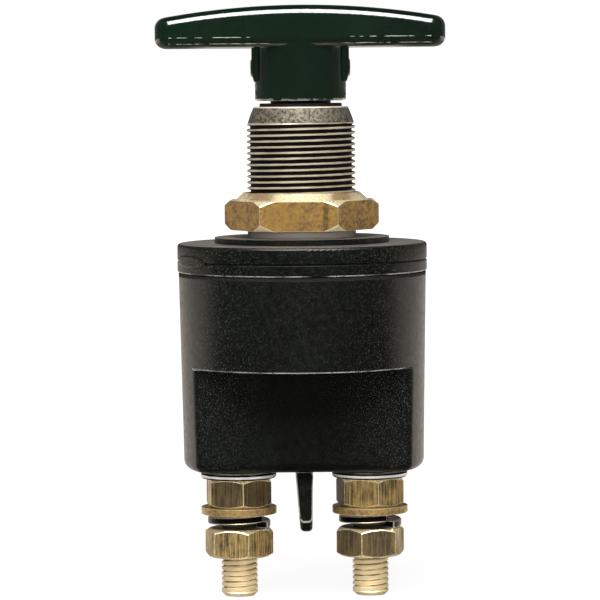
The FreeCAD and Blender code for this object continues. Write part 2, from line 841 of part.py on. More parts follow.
# ---- handle and shaft ----
def make_handle():
    """Painted casting: arched bar that narrows to its ends, round hub and two pin ears."""
    body = new_body("t_handle")
    half_length = s.bar_length / 2
    half_depth, end_half = s.bar_depth / 2, s.bar_end_depth / 2
    plan_radius = bow_radius(half_length, half_depth - end_half)
    plan = outline(
        body,
        "XY_Plane",
        [
            (-half_length, -end_half, plan_radius),
            (half_length, -end_half),
            (half_length, end_half, plan_radius),
            (-half_length, end_half),
        ],
        bar_low_z,
    )
    pad(body, plan, s.bar_thickness)
    top_z = bar_low_z + s.bar_thickness
    end_z = top_z - s.bar_fall
    arch = outline(
        body,
        "XZ_Plane",
        [
            (-half_length, end_z, -bow_radius(half_length, s.bar_fall)),
            (half_length, end_z),
            (half_length, top_z + s.bar_fall),
            (-half_length, top_z + s.bar_fall),
        ],
    )
    pocket(body, arch, CLEAR_OF_ALL, both_ways=True)
    fillet(
        body,
        s.bar_end_round,
        lambda p: near(abs(p.x), half_length.value)
        and near(abs(p.y), end_half.value),
    )
    fillet(body, s.bar_lower_round, lambda p: near(p.z, bar_low_z.value))
    half_way_z = (bar_low_z.value + end_z.value) / 2
    fillet(body, s.bar_upper_round, lambda p: p.z > half_way_z)
    inside_bar_z = bar_low_z + s.bar_thickness / 2
    hub = disc(body, "XY_Plane", s.hub_diameter / 2, offset=hub_low_z)
    pad(body, hub, inside_bar_z - hub_low_z)
    half_ears = ear_width / 2
    ears = outline(
        body,
        "XZ_Plane",
        [
            (s.ear_bevel - half_ears, ear_low_z),
            (half_ears - s.ear_bevel, ear_low_z),
            (half_ears, ear_low_z + s.ear_bevel_drop),
            (half_ears, inside_bar_z),
            (-half_ears, inside_bar_z),
            (-half_ears, ear_low_z + s.ear_bevel_drop),
        ],
    )
    pad(body, ears, s.ear_depth, both_ways=True)
    fillet(
        body,
        s.ear_round,
        lambda p: near(abs(p.y), s.ear_depth.value / 2)
        and near(abs(p.x), half_ears.value, s.ear_bevel.value)
        and p.z < bar_low_z.value,
    )
    fillet(body, s.hub_edge, lambda p: near(p.z, hub_low_z.value))
    bore = disc(body, "XY_Plane", shaft_bore, offset=hub_low_z)
    pocket(body, bore, shaft_top_z + s.loose_gap - hub_low_z, up=True)
    cross_hole(body, s.handle_pin_diameter, handle_pin_z)
    return body


def bow_radius(half_chord, rise):
    return (half_chord * half_chord + rise * rise) / (2 * rise)


def cross_hole(body, diameter, height):
    """A hole for a cross pin, right through along X."""
    hole = disc(body, "YZ_Plane", diameter / 2 + s.running_gap, 0, height)
    return pocket(body, hole, CLEAR_OF_ALL, both_ways=True)


def cross_pin(name, diameter, length, height, end_round):
    body = new_body(name)
    pad(body, disc(body, "YZ_Plane", diameter / 2, 0, height), length, both_ways=True)
    fillet(body, end_round, lambda p: near(abs(p.x), size(length).value / 2))
    return body


def pie(body, inner, outer, start, sweep, offset):
    """A ring's sector between two angles in degrees, anticlockwise."""
    end = start + sweep
    points = [
        (inner * cosine(start), inner * sine(start)),
        (outer * cosine(start), outer * sine(start), outer),
        (outer * cosine(end), outer * sine(end)),
        (inner * cosine(end), inner * sine(end)),
    ]
    return outline(body, "XY_Plane", points, offset)


def make_shaft():
    """Steel shaft: thrust shoulder with the stop lug, O-ring grooves and two cross holes."""
    shoulder_low_z = housing_top_z + s.running_gap
    groove_radius = shaft_radius - s.oring_section
    half_groove = s.oring_section / 2 + s.running_gap
    points = [
        (0, drive_pin_z - s.shaft_tail),
        (shaft_radius, drive_pin_z - s.shaft_tail),
        (shaft_radius, shoulder_low_z),
        (shoulder_radius, shoulder_low_z),
        (shoulder_radius, thrust_low_z),
        (shaft_radius, thrust_low_z),
    ]
    for height in (s.oring_lower_height, s.oring_upper_height):
        points += [
            (shaft_radius, height - half_groove),
            (groove_radius, height - half_groove),
            (groove_radius, height + half_groove),
            (shaft_radius, height + half_groove),
        ]
    points += [(shaft_radius, shaft_top_z), (0, shaft_top_z)]
    body = turned("shaft", points)
    lug = pie(
        body, shaft_radius, lug_reach, lug_start, s.lug_angle, shoulder_low_z
    )
    pad(body, lug, thrust_low_z - shoulder_low_z)
    cross_hole(body, s.handle_pin_diameter, handle_pin_z)
    cross_hole(body, s.drive_pin_diameter, drive_pin_z)
    return body


def make_orings():
    """Two O-rings in the shaft's grooves."""
    radius = s.oring_section / 2 - s.running_gap / 2
    master = new_body("shaft_oring")
    mean = shaft_radius - s.oring_section / 2
    revolve(master, disc(master, "XZ_Plane", radius, mean))
    places = [{"z": s.oring_lower_height}, {"z": s.oring_upper_height}]
    return copies("shaft_orings", master, places)


def make_stop_plate():
    """Plate clamped under the neck's flange, with the window that the stop lug swings in."""
    body = ring(
        "stop_plate",
        shoulder_radius + s.loose_gap,
        stop_plate_radius,
        housing_top_z,
        flange_low_z,
    )
    window = pie(
        body,
        shoulder_radius,
        lug_reach + s.loose_gap,
        lug_start - s.quarter_turn - s.stop_gap,
        s.lug_angle + s.quarter_turn + 2 * s.stop_gap,
        housing_top_z,
    )
    pocket(body, window, s.stop_plate_thickness, up=True)
    return body


# ---- switching pieces ----
def make_carrier():
    """Moulded carrier: sleeve with two helical slots for the drive pin, and a yoke for the bridge."""
    body = new_body("bridge_carrier")
    bore_radius = shaft_radius + s.loose_gap
    half_window = s.bridge_width / 2 + s.loose_gap
    sleeve = disc(body, "XY_Plane", sleeve_radius, offset=window_top_z)
    pad(body, sleeve, carrier_top_z - window_top_z)
    yoke = box_outline(
        body,
        "XY_Plane",
        half_spacing - s.stud_head_diameter / 2 - s.carrier_gap,
        half_slot - s.loose_gap,
        offset=carrier_low_z,
    )
    pad(body, yoke, bore_end_z - carrier_low_z)
    bore = disc(body, "XY_Plane", bore_radius, offset=bore_end_z)
    pocket(body, bore, carrier_top_z - bore_end_z, up=True)
    window = outline(
        body,
        "YZ_Plane",
        [
            (-half_window, bridge_low_z),
            (half_window, bridge_low_z),
            (half_window, window_top_z),
            (-half_window, window_top_z),
        ],
    )
    pocket(body, window, CLEAR_OF_ALL, both_ways=True)
    # the pin's slots rise a quarter of their lead clockwise, and end in round pockets
    slot_radius = s.drive_pin_diameter / 2 + s.cam_gap
    for plane, height in (
        ("YZ_Plane", drive_pin_z),
        ("XZ_Plane", drive_pin_z + s.bridge_travel),
    ):
        pocket(
            body,
            disc(body, plane, slot_radius, 0, height),
            CLEAR_OF_ALL,
            both_ways=True,
        )
    half_height = slot_radius - s.running_gap
    inner = shaft_radius / 2
    outer = sleeve_radius + s.loose_gap
    for side in (1, -1):
        section = outline(
            body,
            "XZ_Plane",
            [
                (inner * side, drive_pin_z - half_height),
                (outer * side, drive_pin_z - half_height),
                (outer * side, drive_pin_z + half_height),
                (inner * side, drive_pin_z + half_height),
            ],
        )
        turns = s.quarter_turn / 360
        helix(body, "SubtractiveHelix", section, s.bridge_travel, turns, True)
    return body


def make_bridge():
    """Copper bar with round ends and a rivet hole for each moving contact."""
    body = new_body("contact_bridge")
    end_radius = s.bridge_width / 2
    half_length = chamber_radius - s.bridge_end_gap
    straight = half_length - end_radius
    bar = outline(
        body,
        "XY_Plane",
        [
            (-straight, -end_radius),
            (straight, -end_radius, end_radius),
            (half_length, 0, end_radius),
            (straight, end_radius),
            (-straight, end_radius, end_radius),
            (-half_length, 0, end_radius),
        ],
        bridge_low_z,
    )
    pad(body, bar, s.bridge_thickness)
    for side in (1, -1):
        hole = disc(
            body,
            "XY_Plane",
            s.rivet_shank_diameter / 2 + s.running_gap,
            half_spacing * side,
            0,
            bridge_top_z,
        )
        pocket(body, hole, s.bridge_thickness)
    return body


def make_moving_contacts():
    """Silver rivets of the bridge: disc below, shank, and closed head above."""
    shank = s.rivet_shank_diameter / 2
    head = s.rivet_head_diameter / 2
    face = s.contact_diameter / 2
    head_low = s.contact_thickness + s.bridge_thickness
    master = turned(
        "moving_contact",
        [
            (0, 0),
            (face, 0),
            (face, s.contact_thickness),
            (shank, s.contact_thickness),
            (shank, head_low),
            (head, head_low),
            (head, head_low + s.rivet_head_height),
            (0, head_low + s.rivet_head_height),
        ],
    )
    return copies("moving_contacts", master, at_terminals(moving_contact_low_z))


def coil(name, mean_diameter, wire, low, high, turns):
    """A coil spring of round wire between two heights."""
    body = new_body(name)
    wire_radius = wire / 2
    section = disc(body, "XZ_Plane", wire_radius, mean_diameter / 2, low + wire_radius)
    helix(body, "AdditiveHelix", section, high - low - wire, turns)
    return body


def at_terminals(height, left=0, right=0):
    """The two terminals' places at one height, each with its turn in degrees."""
    return [
        {"x": -half_spacing, "z": height, "turn": left},
        {"x": half_spacing, "z": height, "turn": right},
    ]


def at_screws(height):
    """The four cover screws' places at one height."""
    signs = [(1, 1), (-1, 1), (-1, -1), (1, -1)]
    return [{"x": screw_offset * i, "y": screw_offset * j, "z": height} for i, j in signs]


def washer(name, diameter, thickness):
    return ring(name, washer_bore, diameter / 2, 0, thickness)


# ---- every sub-part, from the handle down ----
handle = make_handle()
handle_pin = cross_pin(
    "handle_pin",
    s.handle_pin_diameter,
    ear_width + 2 * s.handle_pin_proud,
    handle_pin_z,
    s.pin_round,
)
handle_washer = ring(
    "handle_washer",
    shaft_bore,
    s.handle_washer_diameter / 2,
    hub_low_z - s.handle_washer_thickness,
    hub_low_z,
)
wiper_seal = ring(
    "wiper_seal",
    shaft_bore,
    neck_end_radius - s.wiper_inset,
    s.neck_height,
    wiper_top_z,
)
panel_nut = make_panel_nut()
cover_screws = copies(
    "cover_screws",
    make_cover_screw(),
    at_screws(shoulder_z),
)
cover = make_cover()
cover_gasket = ring(
    "cover_gasket",
    gasket_inner,
    gasket_outer,
    housing_top_z,
    housing_top_z + s.gasket_thickness,
)
screw_inserts = copies(
    "screw_inserts",
    ring(
        "screw_insert",
        screw_radius + s.running_gap,
        s.insert_diameter / 2,
        -s.insert_length,
        0,
    ),
    at_screws(housing_top_z),
)
neck = make_neck()
thrust_washer = ring(
    "thrust_washer",
    shaft_bore,
    shoulder_radius,
    thrust_low_z,
    thrust_low_z + s.thrust_washer_thickness,
)
stop_plate = make_stop_plate()
shaft = make_shaft()
shaft_orings = make_orings()
drive_pin = cross_pin(
    "drive_pin",
    s.drive_pin_diameter,
    2 * (sleeve_radius - s.drive_pin_inset),
    drive_pin_z,
    s.pin_round,
)
carrier = make_carrier()
bridge = make_bridge()
moving_contacts = make_moving_contacts()
contact_spring = coil(
    "contact_spring",
    s.contact_spring_mean,
    s.contact_spring_wire,
    bridge_top_z,
    window_top_z,
    s.contact_spring_turns,
)
return_spring = coil(
    "return_spring",
    s.return_spring_mean,
    s.return_spring_wire,
    spring_well_z,
    carrier_low_z,
    s.return_spring_turns,
)
fixed_contact = new_body("fixed_contact")
pad(
    fixed_contact,
    disc(fixed_contact, "XY_Plane", s.contact_diameter / 2),
    s.contact_thickness,
)
fixed_contacts = copies(
    "fixed_contacts", fixed_contact, at_terminals(fixed_contact_low_z)
)
stud_left = make_stud("terminal_stud_left", -1)
stud_right = make_stud("terminal_stud_right", 1)
housing = make_housing()
base_washers = copies(
    "base_washers",
    washer("base_washer", s.base_washer_diameter, s.base_washer_thickness),
    at_terminals(base_washer_low_z),
)
terminal_nut = make_terminal_nut()
upper_nuts = copies(
    "upper_nuts",
    terminal_nut,
    at_terminals(upper_nut_low_z, s.upper_nut_turn_left, s.upper_nut_turn_right),
)
flat_washers = copies(
    "flat_washers",
    washer("flat_washer", s.flat_washer_diameter, s.flat_washer_thickness),
    at_terminals(flat_washer_low_z),
)
spring_washers = copies(
    "spring_washers",
    make_split_washer(),
    at_terminals(split_washer_low_z, s.split_turn_left, s.split_turn_right),
)
lower_nuts = copies(
    "lower_nuts",
    terminal_nut,
    at_terminals(lower_nut_low_z, s.lower_nut_turn_left, s.lower_nut_turn_right),
)
SUB_PARTS = [
    handle,
    handle_pin,
    handle_washer,
    wiper_seal,
    panel_nut,
    cover_screws,
    cover,
    cover_gasket,
    screw_inserts,
    neck,
    thrust_washer,
    stop_plate,
    shaft,
    shaft_orings,
    drive_pin,
    carrier,
    bridge,
    moving_contacts,
    contact_spring,
    return_spring,
    fixed_contacts,
    stud_left,
    stud_right,
    housing,
    base_washers,
    upper_nuts,
    flat_washers,
    spring_washers,
    lower_nuts,
]

# ---- check and write ----
doc.recompute()
for thing in doc.Objects:
    faults = {"Invalid", "Error"} & set(thing.State)
    if faults:
        raise RuntimeError(f"{thing.Name} is {faults}")
os.makedirs("parts", exist_ok=True)
for sub_part in SUB_PARTS:
    shape = sub_part.Shape
    if shape.isNull() or not shape.isValid() or not shape.Solids:
        raise RuntimeError(f"{sub_part.Label} has no valid shape")
for sub_part in SUB_PARTS:
    sub_part.Shape.exportStep(f"parts/{sub_part.Label}.step")
    shape = sub_part.Shape
    print(f"{sub_part.Label}: {len(shape.Solids)} solid(s), {shape.Volume:.1f} mm3")
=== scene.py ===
from math import cos, pi, radians, sin, sqrt

import bmesh
import bpy
from bpy.props import FloatProperty, FloatVectorProperty, IntProperty, PointerProperty
from mathutils import Matrix, Vector
from mathutils.bvhtree import BVHTree


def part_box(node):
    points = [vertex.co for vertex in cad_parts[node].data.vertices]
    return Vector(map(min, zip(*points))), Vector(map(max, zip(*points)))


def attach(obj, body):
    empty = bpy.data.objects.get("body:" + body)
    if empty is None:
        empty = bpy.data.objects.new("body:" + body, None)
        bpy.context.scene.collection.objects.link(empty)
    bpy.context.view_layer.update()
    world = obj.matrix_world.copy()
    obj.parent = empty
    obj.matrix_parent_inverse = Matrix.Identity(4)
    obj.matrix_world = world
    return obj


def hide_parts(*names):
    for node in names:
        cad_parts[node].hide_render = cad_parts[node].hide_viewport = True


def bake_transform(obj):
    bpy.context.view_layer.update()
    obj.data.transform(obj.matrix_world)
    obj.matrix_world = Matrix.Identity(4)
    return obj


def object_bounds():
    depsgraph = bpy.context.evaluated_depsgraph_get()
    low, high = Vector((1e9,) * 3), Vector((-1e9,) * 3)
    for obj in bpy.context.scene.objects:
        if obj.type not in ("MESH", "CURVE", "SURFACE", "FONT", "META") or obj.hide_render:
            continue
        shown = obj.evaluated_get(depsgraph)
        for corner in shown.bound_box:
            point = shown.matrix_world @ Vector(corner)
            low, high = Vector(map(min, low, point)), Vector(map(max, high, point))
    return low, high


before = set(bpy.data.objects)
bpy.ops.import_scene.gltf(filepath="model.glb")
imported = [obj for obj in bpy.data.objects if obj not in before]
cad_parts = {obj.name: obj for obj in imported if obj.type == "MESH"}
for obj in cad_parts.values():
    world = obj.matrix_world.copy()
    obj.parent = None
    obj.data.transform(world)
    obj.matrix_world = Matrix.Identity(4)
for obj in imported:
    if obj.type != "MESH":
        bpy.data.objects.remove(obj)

bl_info = {
    "name": "Battery switch finish",
    "version": (1, 0, 0),
    "blender": (4, 5, 0),
    "location": "3D View > Sidebar > Battery Switch",
    "description": "Threads, worn edges, finishes and studio for the battery switch",
    "category": "Object",
}

CAD_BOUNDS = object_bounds()
MM = 0.001
WELD = 2e-6  # points nearer together than this, in metres, are one
BAR_HEIGHT = 11.7 * MM  # the handle's bar, from its lower face to its crown
STEEL_TARNISH = (0.2, 0.18, 0.16)
BLUED_TARNISH = (0.02, 0.018, 0.016)


# ---- sizes and colours that a user may change ----
def length(name, description, millimetres, least=0):
    """A length property, given in millimetres and held in metres."""
    return FloatProperty(
        name=name,
        description=description,
        default=millimetres * MM,
        min=least * MM,
        precision=5,
        subtype="DISTANCE",
        unit="LENGTH",
    )


def colour(name, description, red, green, blue):
    """A colour property; its default is in linear light."""
    shade = (red, green, blue)
    return FloatVectorProperty(
        name=name, description=description, default=shade, min=0, max=1, subtype="COLOR"
    )


def factor(name, description, value):
    """A property from 0 to 1."""
    return FloatProperty(
        name=name, description=description, default=value, min=0, max=1, subtype="FACTOR"
    )


def face_count(name, description, count):
    """A property for the number of faces round a turned piece."""
    return IntProperty(name=name, description=description, default=count, min=24)


class DetailSizes(bpy.types.PropertyGroup):
    """Sizes of the threads, rounded edges and small details"""

    neck_pitch: length("Neck pitch", "Pitch of the neck's thread", 1.6)
    neck_depth: length("Neck depth", "Depth of the neck's thread", 0.95)
    stud_pitch: length("Stud pitch", "Pitch of the terminal studs' thread", 1.5)
    stud_depth: length("Stud depth", "Depth of the terminal studs' thread", 0.6)
    run_out: length("Run-out", "Length over which a thread fades at its ends", 0.75)
    neck_columns: face_count("Neck columns", "Faces round the neck", 144)
    stud_columns: face_count("Stud columns", "Faces round a stud", 72)
    crown_height: length("Crown", "Plain crowned length above the neck's thread", 4.5)
    crown_inset: length("Crown inset", "Crown's foot, in from the thread", 0.3)
    crown_bow: length("Crown bow", "How far the crown bulges from a straight cone", 0.12)
    brass_edge: length("Brass edges", "Rubbed edges of the nuts and washers", 0.16)
    moulding_edge: length("Moulding edges", "Rubbed edges of the case", 0.32)
    parting_rise: length("Parting rise", "Parting line above the bar's lower face", 2.9)
    parting_width: length("Parting width", "Width of the handle's parting line", 0.20)
    pad_thickness: length("Pad thickness", "Plain pad raised on the cover's rim", 0.28)


class FinishColours(bpy.types.PropertyGroup):
    """Colours and gloss of the finishes"""

    enamel: colour("Enamel", "Handle enamel", 0.0022, 0.0100, 0.0042)
    moulding: colour("Moulding", "Case moulding", 0.0016, 0.0036, 0.0024)
    inner: colour("Inner moulding", "Carrier, stop plate and thrust washer", 0.26, 0.185, 0.09)
    neck: colour("Neck", "Turned neck", 0.58, 0.51, 0.38)
    brass: colour("Brass", "Clamping nut", 0.325, 0.190, 0.044)
    terminal: colour("Terminal brass", "Nuts and flat washers", 0.46, 0.31, 0.11)
    rubbed: colour("Rubbed brass", "Edges and chamfers worn bright", 0.93, 0.80, 0.50)
    stud: colour("Studs", "Terminal studs", 1.0, 0.82, 0.50)
    steel: colour("Steel", "Shaft, pin, springs and screws", 0.62, 0.60, 0.57)
    # painted reflection: near white, for the white surroundings mirrored in the base washers' sides
    base_steel: colour("Base steel", "Base washers", 0.9, 0.88, 0.84)
    blued: colour("Blued steel", "Spring and handle washers", 0.05, 0.048, 0.045)
    rubber: colour("Rubber", "Seals and gaskets", 0.004, 0.004, 0.004)
    copper: colour("Copper", "Contact bridge", 0.78, 0.37, 0.24)
    silver: colour("Silver", "Contact discs", 0.83, 0.82, 0.79)
    enamel_roughness: factor("Enamel roughness", "Gloss of the enamel", 0.12)
    moulding_roughness: factor("Moulding roughness", "Gloss of the moulding", 0.29)


class StageSettings(bpy.types.PropertyGroup):
    """Camera, lamps and surroundings"""

    camera_distance: length("Camera distance", "Camera to the switch's axis", 1000, 300)
    camera_height: length("Camera height", "Camera above the boss face", 45, -1000)
    camera_side: length("Camera side", "Camera, right of the switch's axis", -0.7, -1000)
    frame_height: length("Frame height", "Picture's height at the switch's axis", 166.67, 10)
    aim_height: length("Aim height", "Picture's middle, from the boss face", -17.7, -1000)
    roll: FloatProperty(
        name="Roll",
        description="Camera's turn about its line of sight",
        default=radians(0.56),
        subtype="ANGLE",
    )
    floor_colour: colour("Floor", "Floor paint", 0.80, 0.80, 0.80)
    front_light: factor("Front light", "Brightness of the room before the switch", 0.07)
    lamp_power: FloatProperty(
        name="Lamp power", description="Power of the key lamp", default=20, min=0, unit="POWER"
    )


# ---- node trees ----
class Wire:
    """An output socket; arithmetic on it adds Math nodes to its tree."""

    def __init__(self, tree, socket):
        self.tree = tree
        self.socket = socket

    def __add__(self, other):
        return self.tree.maths("ADD", self, other)

    def __sub__(self, other):
        return self.tree.maths("SUBTRACT", self, other)

    def __rsub__(self, other):
        return self.tree.maths("SUBTRACT", other, self)

    def __mul__(self, other):
        return self.tree.maths("MULTIPLY", self, other)

    def __truediv__(self, other):
        return self.tree.maths("DIVIDE", self, other)

    __radd__ = __add__
    __rmul__ = __mul__


class Tree:
    """Adds nodes to a shader or geometry node tree."""

    def __init__(self, tree):
        self.tree = tree
        tree.nodes.clear()

    def node(self, kind, sockets=None, out=0, **settings):
        """One node: its settings first, then its sockets. Returns the output named by out."""
        node = self.tree.nodes.new(kind)
        for name, value in settings.items():
            setattr(node, name, value)
        for key, value in (sockets or {}).items():
            if isinstance(value, Wire):
                self.tree.links.new(value.socket, node.inputs[key])
            else:
                node.inputs[key].default_value = value
        return node if out is None else Wire(self, node.outputs[out])

    def maths(self, operation, *values):
        return self.node("ShaderNodeMath", dict(enumerate(values)), operation=operation)

    def limit(self, value, low, high):
        return self.maths("MINIMUM", self.maths("MAXIMUM", value, low), high)

    def between(self, value, low, high, smooth=True):
        """0 at low, 1 at high, held beyond them."""
        return self.node(
            "ShaderNodeMapRange",
            {0: value, 1: low, 2: high},
            interpolation_type="SMOOTHSTEP" if smooth else "LINEAR",
        )

    def mix(self, amount, first, second):
        """A colour between two colours."""
        sockets = {0: amount, 6: first, 7: second}
        return self.node("ShaderNodeMix", sockets, 2, data_type="RGBA")

    def split(self, vector):
        node = self.node("ShaderNodeSeparateXYZ", {0: vector}, None)
        return [Wire(self, output) for output in node.outputs]

    def join(self, x, y, z):
        return self.node("ShaderNodeCombineXYZ", {0: x, 1: y, 2: z})

    def stretch(self, vector, x, y, z):
        """The vector times (x, y, z)."""
        return self.node("ShaderNodeVectorMath", {0: vector, 1: (x, y, z)}, operation="MULTIPLY")

    def noise(self, vector, scale, detail=3.0, rough=0.5):
        """Noise of that many features in a metre, 0 to 1."""
        sockets = {"Vector": vector, "Scale": scale, "Detail": detail, "Roughness": rough}
        return self.node("ShaderNodeTexNoise", sockets)

    def rays(self):
        """1 or 0 twice: for rays that see straight or through glass, and for mirrored rays."""
        path = self.node("ShaderNodeLightPath", out=None)
        straight, through, mirrored = (
            Wire(self, path.outputs[f"Is {kind} Ray"])
            for kind in ("Camera", "Transmission", "Glossy")
        )
        return self.maths("MAXIMUM", straight, through), mirrored


def rgba(shade, level=1.0):
    return tuple(level * part for part in shade) + (1,)


class Finish(Tree):
    """A material around one Principled shader, on Object coordinates."""

    def __init__(self, name):
        self.material = bpy.data.materials.new(name)
        self.material.use_nodes = True
        super().__init__(self.material.node_tree)
        self.place = self.node("ShaderNodeTexCoord", out="Object")

    def bump(self, height, distance, strength=1.0, onto=None):
        """A normal from a height of 0 to 1 that stands for a distance."""
        sockets = {"Height": height, "Distance": distance, "Strength": strength}
        if onto:
            sockets["Normal"] = onto
        return self.node("ShaderNodeBump", sockets)

    def shade(self, **sockets):
        """Ends the material; names stand for the shader's sockets, _ for a space."""
        named = {name.replace("_", " "): value for name, value in sockets.items()}
        surface = self.node("ShaderNodeBsdfPrincipled", named)
        self.node("ShaderNodeOutputMaterial", {"Surface": surface}, None)
        return self.material


# ---- finishes ----
def enamel_finish(looks):
    """Dark green enamel on a casting: orange peel, cloudy gloss, chips round the hub's foot.

    Handling has dulled it under the bar's ends.
    """
    f = Finish("handle_enamel")
    x, _, z = f.split(f.place)
    foot, crown = heights("t_handle")
    bar_low = crown - BAR_HEIGHT
    bar_ends = f.between(f.maths("ABSOLUTE", x), 22 * MM, 32 * MM)
    dulled = bar_ends * f.between(z, bar_low + 2.6 * MM, bar_low + 1.2 * MM)
    peel = f.noise(f.place, 230, 2)
    nibs = f.between(f.noise(f.place, 1300, 0), 0.78, 0.84)
    tone = f.between(f.noise(f.place, 55, 4), 0.3, 0.7)
    ragged = f.noise(f.place, 650, 3)
    chips = f.between(z + ragged * MM, foot + 1.15 * MM, foot + 0.95 * MM)
    chips = chips * f.between(f.noise(f.place, 420, 2), 0.42, 0.52)
    base = f.mix(tone, rgba(looks.enamel, 0.9), rgba(looks.enamel, 1.3))
    pale_nib, primer = (0.03, 0.04, 0.03, 1), (0.16, 0.17, 0.15, 1)
    base = f.mix(nibs * 0.4, base, pale_nib)
    base = f.mix(chips, base, primer)
    rough = looks.enamel_roughness + f.between(f.noise(f.place, 150, 4), 0.4, 0.75) * 0.08
    rough = rough + chips * 0.3 + dulled * 0.4
    normal = f.bump(peel, 0.02 * MM, 0.5)
    normal = f.bump(nibs, 0.015 * MM, 0.5, normal)
    normal = f.bump(1.0 - chips, 0.06 * MM, 0.8, normal)
    coat = {"Coat_Weight": 1.0 - dulled, "Coat_Roughness": 0.05}
    return f.shade(Base_Color=base, Roughness=rough, Normal=normal, IOR=1.5, **coat)


def parting_and_highlight_finish(looks):
    """Pale beads in broken lengths: enamel rubbed pale on the casting's parting line, and painted
    highlights and reflections on the bar and hub.
    """
    f = Finish("parting_line")
    worn = f.between(f.noise(f.place, 260, 3), 0.28, 0.46)
    fine = f.noise(f.place, 1500, 2)
    # the pale colour is partly rubbed enamel and partly a painted highlight on the beads
    rubbed_and_highlight_pale = (0.42, 0.39, 0.32, 1)
    base = f.mix(worn, rgba(looks.enamel, 4), rubbed_and_highlight_pale)
    return f.shade(
        Base_Color=base,
        Roughness=0.3 + fine * 0.2,
        Normal=f.bump(fine, 0.02 * MM, 0.5),
    )


def moulding_finish(
    looks, name="case_moulding", shade=None, dust=0.6, gloss=0.0, settled=0.0, shine=0.5, seam=1.0
):
    """Moulded plastic: spark-eroded grain, faint flow clouds and pale dusty specks, which grow
    denser towards the left and right sides as a painted sheen.

    settled is the share of grey-brown dust that lies on an upward face, shine the specular
    level, and seam the height above which the wall is matt and black.
    """
    shade = shade or looks.moulding
    f = Finish(name)
    grain = f.noise(f.place, 1900, 3, 0.65)
    coarse = f.noise(f.place, 640, 2)
    clouds = f.between(f.noise(f.stretch(f.place, 1, 1, 0.4), 40, 4), 0.3, 0.7)
    specks = f.between(f.noise(f.place, 2300, 2, 0.7), 0.54, 0.68)
    x, _, z = f.split(f.place)
    # painted sheen: the pale dusty specks grow denser towards the left and right sides, lightening
    # them as the light along the sides does
    painted_side_sheen = f.between(f.maths("ABSOLUTE", x), 6 * MM, 28 * MM) * 0.85 + 0.15
    speck_and_sheen_colour, black = (0.085, 0.080, 0.055, 1), (0, 0, 0, 1)
    base = f.mix(clouds, rgba(shade, 0.4), rgba(shade))
    base = f.mix(specks * painted_side_sheen * dust, base, speck_and_sheen_colour)
    if settled:
        dark_dust, pale_dust = (0.20, 0.175, 0.15, 1), (0.36, 0.32, 0.28, 1)
        grey = f.mix(specks, dark_dust, pale_dust)
        base = f.mix(f.between(coarse, 0.15, 0.5) * 0.3 + settled, base, grey)
    rough = looks.moulding_roughness - gloss + f.between(coarse, 0.3, 0.7) * 0.08
    matt = f.between(z, seam, seam + 0.15 * MM)
    base = f.mix(matt, base, black)
    rough = f.limit(rough + specks * 0.12 + matt * 0.6, 0.0, 1.0)
    normal = f.bump(grain, 0.07 * MM, 0.6)
    normal = f.bump(coarse, 0.06 * MM, 0.4, normal)
    return f.shade(
        Base_Color=base, Roughness=rough, Normal=normal, IOR=1.5, Specular_IOR_Level=shine
    )


def moulding_edge_finish(looks):
    """Edges of the moulding, rubbed smooth and pale in places."""
    f = Finish("case_edges")
    rubbed = f.between(f.noise(f.place, 120, 4), 0.32, 0.52)
    fine = f.noise(f.place, 900, 3)
    pale = rubbed * f.between(fine, 0.25, 0.5)
    rubbed_grey = (0.42, 0.40, 0.35, 1)
    base = f.mix(pale, rgba(looks.moulding, 3), rubbed_grey)
    return f.shade(
        Base_Color=base,
        Roughness=0.26 + fine * 0.15,
        Normal=f.bump(fine, 0.04 * MM, 0.5),
        Specular_IOR_Level=0.5,
    )


def worn_brass_finish(name, shade, dark, roughness, streaked=False, stain=None, tarnish=None):
    """Dull brass: brown mottling, and brushed streaks along the axis or fine scratches.

    A stain is a dark streak at (x, half width), and tarnish a darker stretch of painted shade given
    the same way.
    """
    f = Finish(name)
    x, y, _ = f.split(f.place)
    clouds = f.between(f.noise(f.place, 170, 4, 0.6), 0.32, 0.70)
    mottle = f.between(f.noise(f.place, 1000, 4, 0.7), 0.34, 0.66)
    if streaked:
        lines = f.noise(f.stretch(f.place, 1, 1, 0.05), 2300, 4, 0.7)
        spots, threads = 0.15, 0.65
    else:
        lines = f.noise(f.stretch(f.place, 0.7, 0.7, 1), 850, 4, 0.7)
        spots, threads = 0.45, 0.35
    streaks = f.between(lines, 0.38, 0.62)
    dull = clouds * 0.3 + mottle * spots + streaks * threads
    dull = f.between(dull, 0.16, 0.92, False)
    # painted shade: the tarnish stretch darkens the brass where a nut stands in shade
    if tarnish:
        middle, half_width = tarnish
        off = f.maths("ABSOLUTE", x - middle)
        dark_side = 1.0 - f.between(off, half_width, half_width + 2 * MM)
        dull = dull + (1.0 - dull) * dark_side * 0.75
    base = f.mix(dull, rgba(shade, 1.45), rgba(dark))
    if stain:
        middle, half_width = stain
        off = f.maths("ABSOLUTE", x + (lines - 0.5) * (1.2 * MM) - middle)
        mark = 1.0 - f.between(off, half_width * 0.5, half_width)
        front = f.between(y, 0.0, -10 * MM) * (mottle * 0.5 + 0.5)
        base = f.mix(mark * front * 0.75, base, rgba(dark, 0.3))
    rough = roughness + dull * 0.18
    normal = f.bump(mottle, 0.025 * MM, 0.6)
    normal = f.bump(streaks, 0.02 * MM, 0.6, normal)
    metallic = 0.55 - dull * 0.2
    return f.shade(Base_Color=base, Roughness=rough, Normal=normal, Metallic=metallic)


